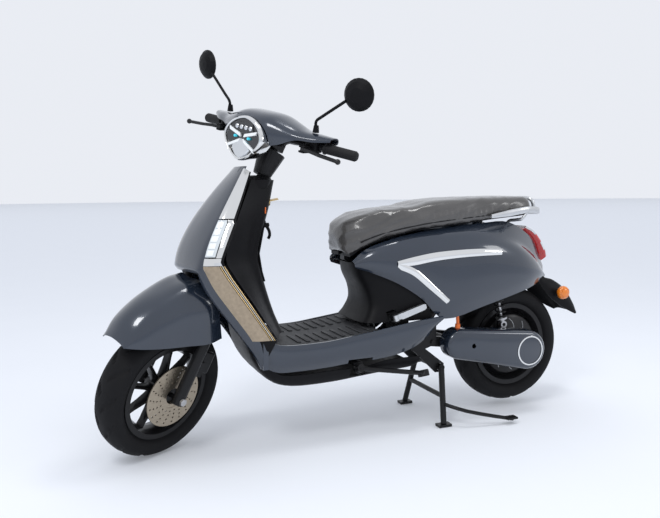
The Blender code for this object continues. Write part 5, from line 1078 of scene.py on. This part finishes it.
for side, word in SIDES:
    lamp = along_y(turned("lamp", SIGNAL_PROFILE, 72, closed=False), SIGNAL_AT, flip=side < 0)
    finish(lamp, "rear_signal_" + word, edge=0.0008)
    for k in range(GRID_BARS):
        long = 2 * (0.0185 if k in (0, GRID_BARS - 1) else 0.0225) * 0.8
        reach = GRID_PITCH * (k - 2)
        for turn, way, size in (
            (0, (0, 0, reach), (long, 0.0125, 0.0012)), (1, (reach, 0, 0), (0.0012, 0.0125, long)),
        ):
            bar = block("grid", SIGNAL_AT + Vector((0, side * 0.1035, 0)) + Vector(way), size)
            extra(bar, "rear_signal_grid_%s_%d_%d" % (word, k, turn), "body", "amber_lens")
RAIL_ROUTE = ((0.182, 0.160, 0.768), (0.100, 0.160, 0.779), (0.030, 0.158, 0.789), (-0.025, 0.142, 0.789),
              (-0.070, 0.108, 0.783), (-0.094, 0.060, 0.780), (-0.100, 0, 0.779))
rail_route = spline([Vector(p) for p in both_sides(RAIL_ROUTE[::-1])], 8)
RAIL_SECTION = ((-1, -0.7), (-0.6, -1), (0.6, -1), (1, -0.7), (1, 0.7), (0.6, 1), (-0.6, 1), (-1, 0.7))
rings = []
last = len(rail_route) - 1
for i, at in enumerate(rail_route):
    way = rail_route[min(i + 1, last)] - rail_route[max(i - 1, 0)]
    outward = Vector((way.y, -way.x, 0)).normalized()
    share = min(1.0, min(i, last - i) / 8)
    thick, tall = 0.004 + 0.002 * share, 0.007 + 0.005 * share
    rings.append([at + outward * thick * a + Vector((0, 0, tall * b)) for a, b in RAIL_SECTION])
grab = [lofted("arms", rings)]
hoop = [(-0.090, 0.056, 0.782), (-0.086, 0.056, 0.812), (-0.076, 0.046, 0.829), (-0.072, 0, 0.832)]
grab.append(tube("hoop", both_sides(hoop[::-1]), 0.0075, 6, per_span=8))
for side in (1, -1):
    leg = [(0.018, 0.157, 0.783), (0.036, 0.150, 0.757), (0.046, 0.124, 0.751), (0.054, 0.092, 0.745),
           (0.060, 0.080, 0.716), (0.060, 0.078, 0.6815)]
    grab.append(tube("leg", [side_of(Vector(p), side) for p in leg], 0.006, 5, per_span=6))
finish(union(grab[0], *grab[1:]), "grab_rail", edge=0.0008)

# ---------------------------------------------------------------- seat
SEAT_STATIONS = (  # X, bottom Z, top Z, half width
    (0.7445, 0.664, 0.757, 0.062), (0.734, 0.636, 0.776, 0.094), (0.716, 0.636, 0.781, 0.104),
    (0.680, 0.662, 0.784, 0.114), (0.640, 0.680, 0.793, 0.122), (0.580, 0.700, 0.803, 0.130),
    (0.475, 0.722, 0.812, 0.140), (0.400, 0.731, 0.828, 0.146), (0.300, 0.741, 0.837, 0.149),
    (0.140, 0.757, 0.841, 0.147), (0.020, 0.766, 0.841, 0.138), (-0.020, 0.770, 0.836, 0.122),
    (-0.034, 0.780, 0.822, 0.092),
)
PAN_DEEP = 0.012  # the seat pan's room under the cushion
SEAT_ROW = (  # shares of the half width and of the height, from the middle below to the middle on top
    (0.0, 0.0), (0.45, 0.0), (0.80, 0.0), (0.93, 0.02), (0.985, 0.12), (1.0, 0.30), (0.998, 0.48),
    (0.985, 0.66), (0.955, 0.80), (0.90, 0.90), (0.82, 0.955), (0.70, 0.982), (0.55, 0.993), (0.35, 0.999),
    (0.0, 1.0),
)
NOSE_FROM, NOSE_LONG = 0.640, 0.1045
rings = []
stations = spline([Vector((x, low, top)) for x, low, top, half in SEAT_STATIONS], 7)
halves = spline([Vector((half, 0, 0)) for x, low, top, half in SEAT_STATIONS], 7)
for (x, low, top), half in zip(stations, halves):
    half = half.x
    if x > NOSE_FROM:
        nose = min(1.0, (x - NOSE_FROM) / NOSE_LONG)
        half *= math.sqrt(max(0.05, 1 - 0.55 * nose**2.2))
        top -= 0.034 * nose**2.4
        low += 0.010 * nose**3
    row = []
    for share, rise in SEAT_ROW:
        pan = PAN_DEEP * (1 if rise == 0 else 0)
        row.append(Vector((x, half * share, low + pan + (top - low) * rise)))
    row = row[:2] + spline(row[2:], 3)
    rings.append(row + [side_of(p, -1) for p in reversed(row[1:-1])])
cushion = lofted("cushion", rings)
grow = cushion.modifiers.new("Remesh", "REMESH")
grow.mode = "VOXEL"
grow.voxel_size = 0.0055
calm = cushion.modifiers.new("Smooth", "SMOOTH")
calm.factor = 0.8
calm.iterations = 16
cushion = baked(cushion)


def wander(p, along, across, up):
    """Smooth noise at a point, at its own scale each way."""
    return noise.noise(Vector((p.x * along, p.y * across, p.z * up)))


FOLD_DEEP, HANG_DEEP, RIPPLE_DEEP = 0.0026, 0.0011, 0.0016  # folds at the nose, hanging folds, ripples
for vertex in cushion.data.vertices:
    p = vertex.co
    nose = max(0.0, (p.x - 0.36) / 0.40)
    side_share = min(1.0, abs(p.y) / 0.10)
    slant = (p.z - 0.78) * 0.9 + (p.x - 0.74) * 0.38
    crease = 1 - 2 * abs(math.sin(slant * 105 + 2.6 * wander(p, 9, 9, 9))) ** 0.7
    fold = crease * FOLD_DEEP * (0.30 + 0.70 * min(1.0, nose)) * side_share
    hang = math.sin(p.x * 260 + 3 * wander(p, 20, 20, 20)) * HANG_DEEP
    hang *= max(0.0, 1 - abs(p.z - 0.775) / 0.03) * (1 - nose) * side_share
    ripple = RIPPLE_DEEP * wander(p, 14, 22, 30)
    inside = 1.0 if p.z > 0.70 or p.x > 0.66 else 0.3  # less on the base that sits on the body
    vertex.co = p + vertex.normal * (fold + hang + ripple) * inside
finish(cushion, "seat_cushion")
for side, word in SIDES:
    route = []
    for (x, low, top), half in zip(stations, halves):
        if -0.020 < x < 0.690:
            route.append(side_of(Vector((x, half.x * 0.986, low + 0.020 * (top - low) / 0.09)), side))
    welt = tube("welt", route[::3], 0.0021, 3, smooth=False)
    extra(welt, "seat_welt_" + word, "seat", "grip_rubber")

# ---------------------------------------------------------------- swingarm cover
COVER_FRONT, COVER_REAR = (0.305, 0.301, 0.057), (0.0, REAR_AXLE_Z, 0.076)  # X, Z and radius of each end


def cover_ring(y, inset, front_steps=40, rear_steps=56):
    """The outline round the cover's two ends, at Y."""
    reach = math.hypot(COVER_FRONT[0] - COVER_REAR[0], COVER_FRONT[1] - COVER_REAR[1])
    slope = math.atan2(COVER_FRONT[1] - COVER_REAR[1], COVER_FRONT[0] - COVER_REAR[0])
    open_angle = math.acos((COVER_REAR[2] - COVER_FRONT[2]) / reach)
    ring = []
    for (x, z, r), first, last, steps in (
        (COVER_FRONT, slope - open_angle, slope + open_angle, front_steps),
        (COVER_REAR, slope + open_angle, slope - open_angle + 2 * math.pi, rear_steps),
    ):
        for k in range(steps + 1):
            turn = first + (last - first) * k / steps
            ring.append(Vector((x + (r - inset) * math.cos(turn), y, z + (r - inset) * math.sin(turn))))
    return ring


COVER_STEPS = (  # Y and inset
    (COVER_Y[0], 0), (0.148, 0), (0.154, 0.0012), (0.160, 0.0045), (0.1645, 0.0095), (COVER_Y[1], 0.016),
)
POCKET_STEPS = ((0.095, 0.004), (0.149, 0.004), (0.158, 0.009), (0.1635, 0.019))
outer_cover = lofted("cover", [cover_ring(*step) for step in COVER_STEPS])
pocket = lofted("pocket", [cover_ring(*step) for step in POCKET_STEPS])
cover_hole = cylinder("cover_hole", (0.253, 0.10, 0.292), (0.253, 0.20, 0.292), 0.009, 32)
finish(cut(outer_cover, pocket, cover_hole), "swingarm_cover")
RING_PROFILE = ((0.0515, 0.1672), (0.0520, 0.1695), (0.0547, 0.1700), (0.0572, 0.1690), (0.0575, 0.1672))
ring = turned("cover_ring", RING_PROFILE, 96)
extra(along_y(ring, REAR_AXLE), "cover_ring", "swingarm", "chrome")

# ---------------------------------------------------------------- shock springs
SHOCK_DIR = Vector((SHOCK_TOP[0] - SHOCK_LOW[0], 0, SHOCK_TOP[1] - SHOCK_LOW[1])).normalized()
COIL_TURNS, COIL_STEPS, COIL_RADIUS, WIRE_RADIUS = 9, 20, 0.0178, 0.0030
CLOSED = 0.08  # share of the coil at each end that is wound at half the pitch
for side, word in SIDES:
    top = Vector((SHOCK_TOP[0], side * SHOCK_Y, SHOCK_TOP[1])) - SHOCK_DIR * 0.0375
    low = Vector((SHOCK_LOW[0], side * SHOCK_Y, SHOCK_LOW[1])) + SHOCK_DIR * 0.0325
    span = top - low
    u = SHOCK_DIR.cross(Vector((0, 1, 0))).normalized()
    v = Vector((0, 1, 0))
    route = []
    for k in range(COIL_TURNS * COIL_STEPS + 1):
        share = k / (COIL_TURNS * COIL_STEPS)
        if share < CLOSED:
            rise = share * 0.5
        elif share > 1 - CLOSED:
            rise = 1 - (1 - share) * 0.5
        else:
            rise = CLOSED / 2 + (share - CLOSED) * (1 - CLOSED) / (1 - 2 * CLOSED)
        turn = 2 * math.pi * COIL_TURNS * share
        route.append(low + span * rise + (u * math.cos(turn) + v * math.sin(turn)) * COIL_RADIUS)
    spring = tube("spring", route, WIRE_RADIUS, 4, smooth=False)
    extra(spring, "shock_spring_" + word, "shock_body_" + word, "black_steel")
    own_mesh(spring)

# ---------------------------------------------------------------- footrests, bright on this scooter
for side, word in SIDES:
    NODES["footrest_" + word].data.materials[0] = LOOKS["silver_alloy"]


# ---------------------------------------------------------------- floor, lights and camera
scene = bpy.context.scene
scene.view_settings.view_transform = "Standard"
ground = turned("studio_floor", [(0, 0), (60.0, 0), (60.0, -0.02), (0, -0.02)], 96, closed=False)
ground.location = (0, 0, -0.002)
floor_look = finish_of("studio_pale", (0.74, 0.765, 0.81), 0.9, 0.0, 0.01, 3.0, 0.0)
adjusted(floor_look.node_tree.nodes["Principled BSDF"], Emission_Color=(0.80, 0.83, 0.88, 1),
         Emission_Strength=0.15, Specular_IOR_Level=0.0)
ground.data.materials.append(floor_look)
world = bpy.data.worlds.new("studio")
scene.world = world
world.use_nodes = True
adjusted(world.node_tree.nodes["Background"], Color=(0.82, 0.845, 0.90, 1), Strength=1.0)
LAMPS = (  # name, place, size and power; each points at the middle of the scooter
    ("key", (1.9, 1.9, 3.2), 0.9, 34), ("top", (-0.5, 0.5, 3.4), 0.8, 20),
    ("side", (-3.0, 2.2, 1.8), 0.8, 10),
)
for name, spot, size, power in LAMPS:
    lamp = bpy.data.lights.new(name, "AREA")
    lamp.size = size
    lamp.energy = power
    holder = bpy.data.objects.new(name, lamp)
    scene.collection.objects.link(holder)
    facing = (Vector((0, 0, 0.6)) - Vector(spot)).to_track_quat("-Z", "Y").to_matrix().to_4x4()
    holder.matrix_world = Matrix.Translation(Vector(spot)) @ facing
view = bpy.data.cameras.new("camera")
view.sensor_width = 36
view.lens = 37.1
view.clip_end = 100
eye = bpy.data.objects.new("camera", view)
scene.collection.objects.link(eye)
CAMERA_AT = Vector((1.660, 2.2582, 0.8676)) + SHIFT.translation
YAW, PITCH, ROLL = math.radians(-21.81), math.radians(5.74), math.radians(-0.52)
ahead = Vector((math.sin(YAW) * math.cos(PITCH), -math.cos(YAW) * math.cos(PITCH), -math.sin(PITCH)))
right = ahead.cross(Vector((0, 0, 1))).normalized()
upward = right.cross(ahead)
cos_roll, sin_roll = math.cos(ROLL), math.sin(ROLL)
right, upward = right * cos_roll + upward * sin_roll, upward * cos_roll - right * sin_roll
turn = Matrix((right, upward, -ahead)).transposed().to_4x4()
eye.matrix_world = Matrix.Translation(CAMERA_AT) @ turn
scene.camera = eye
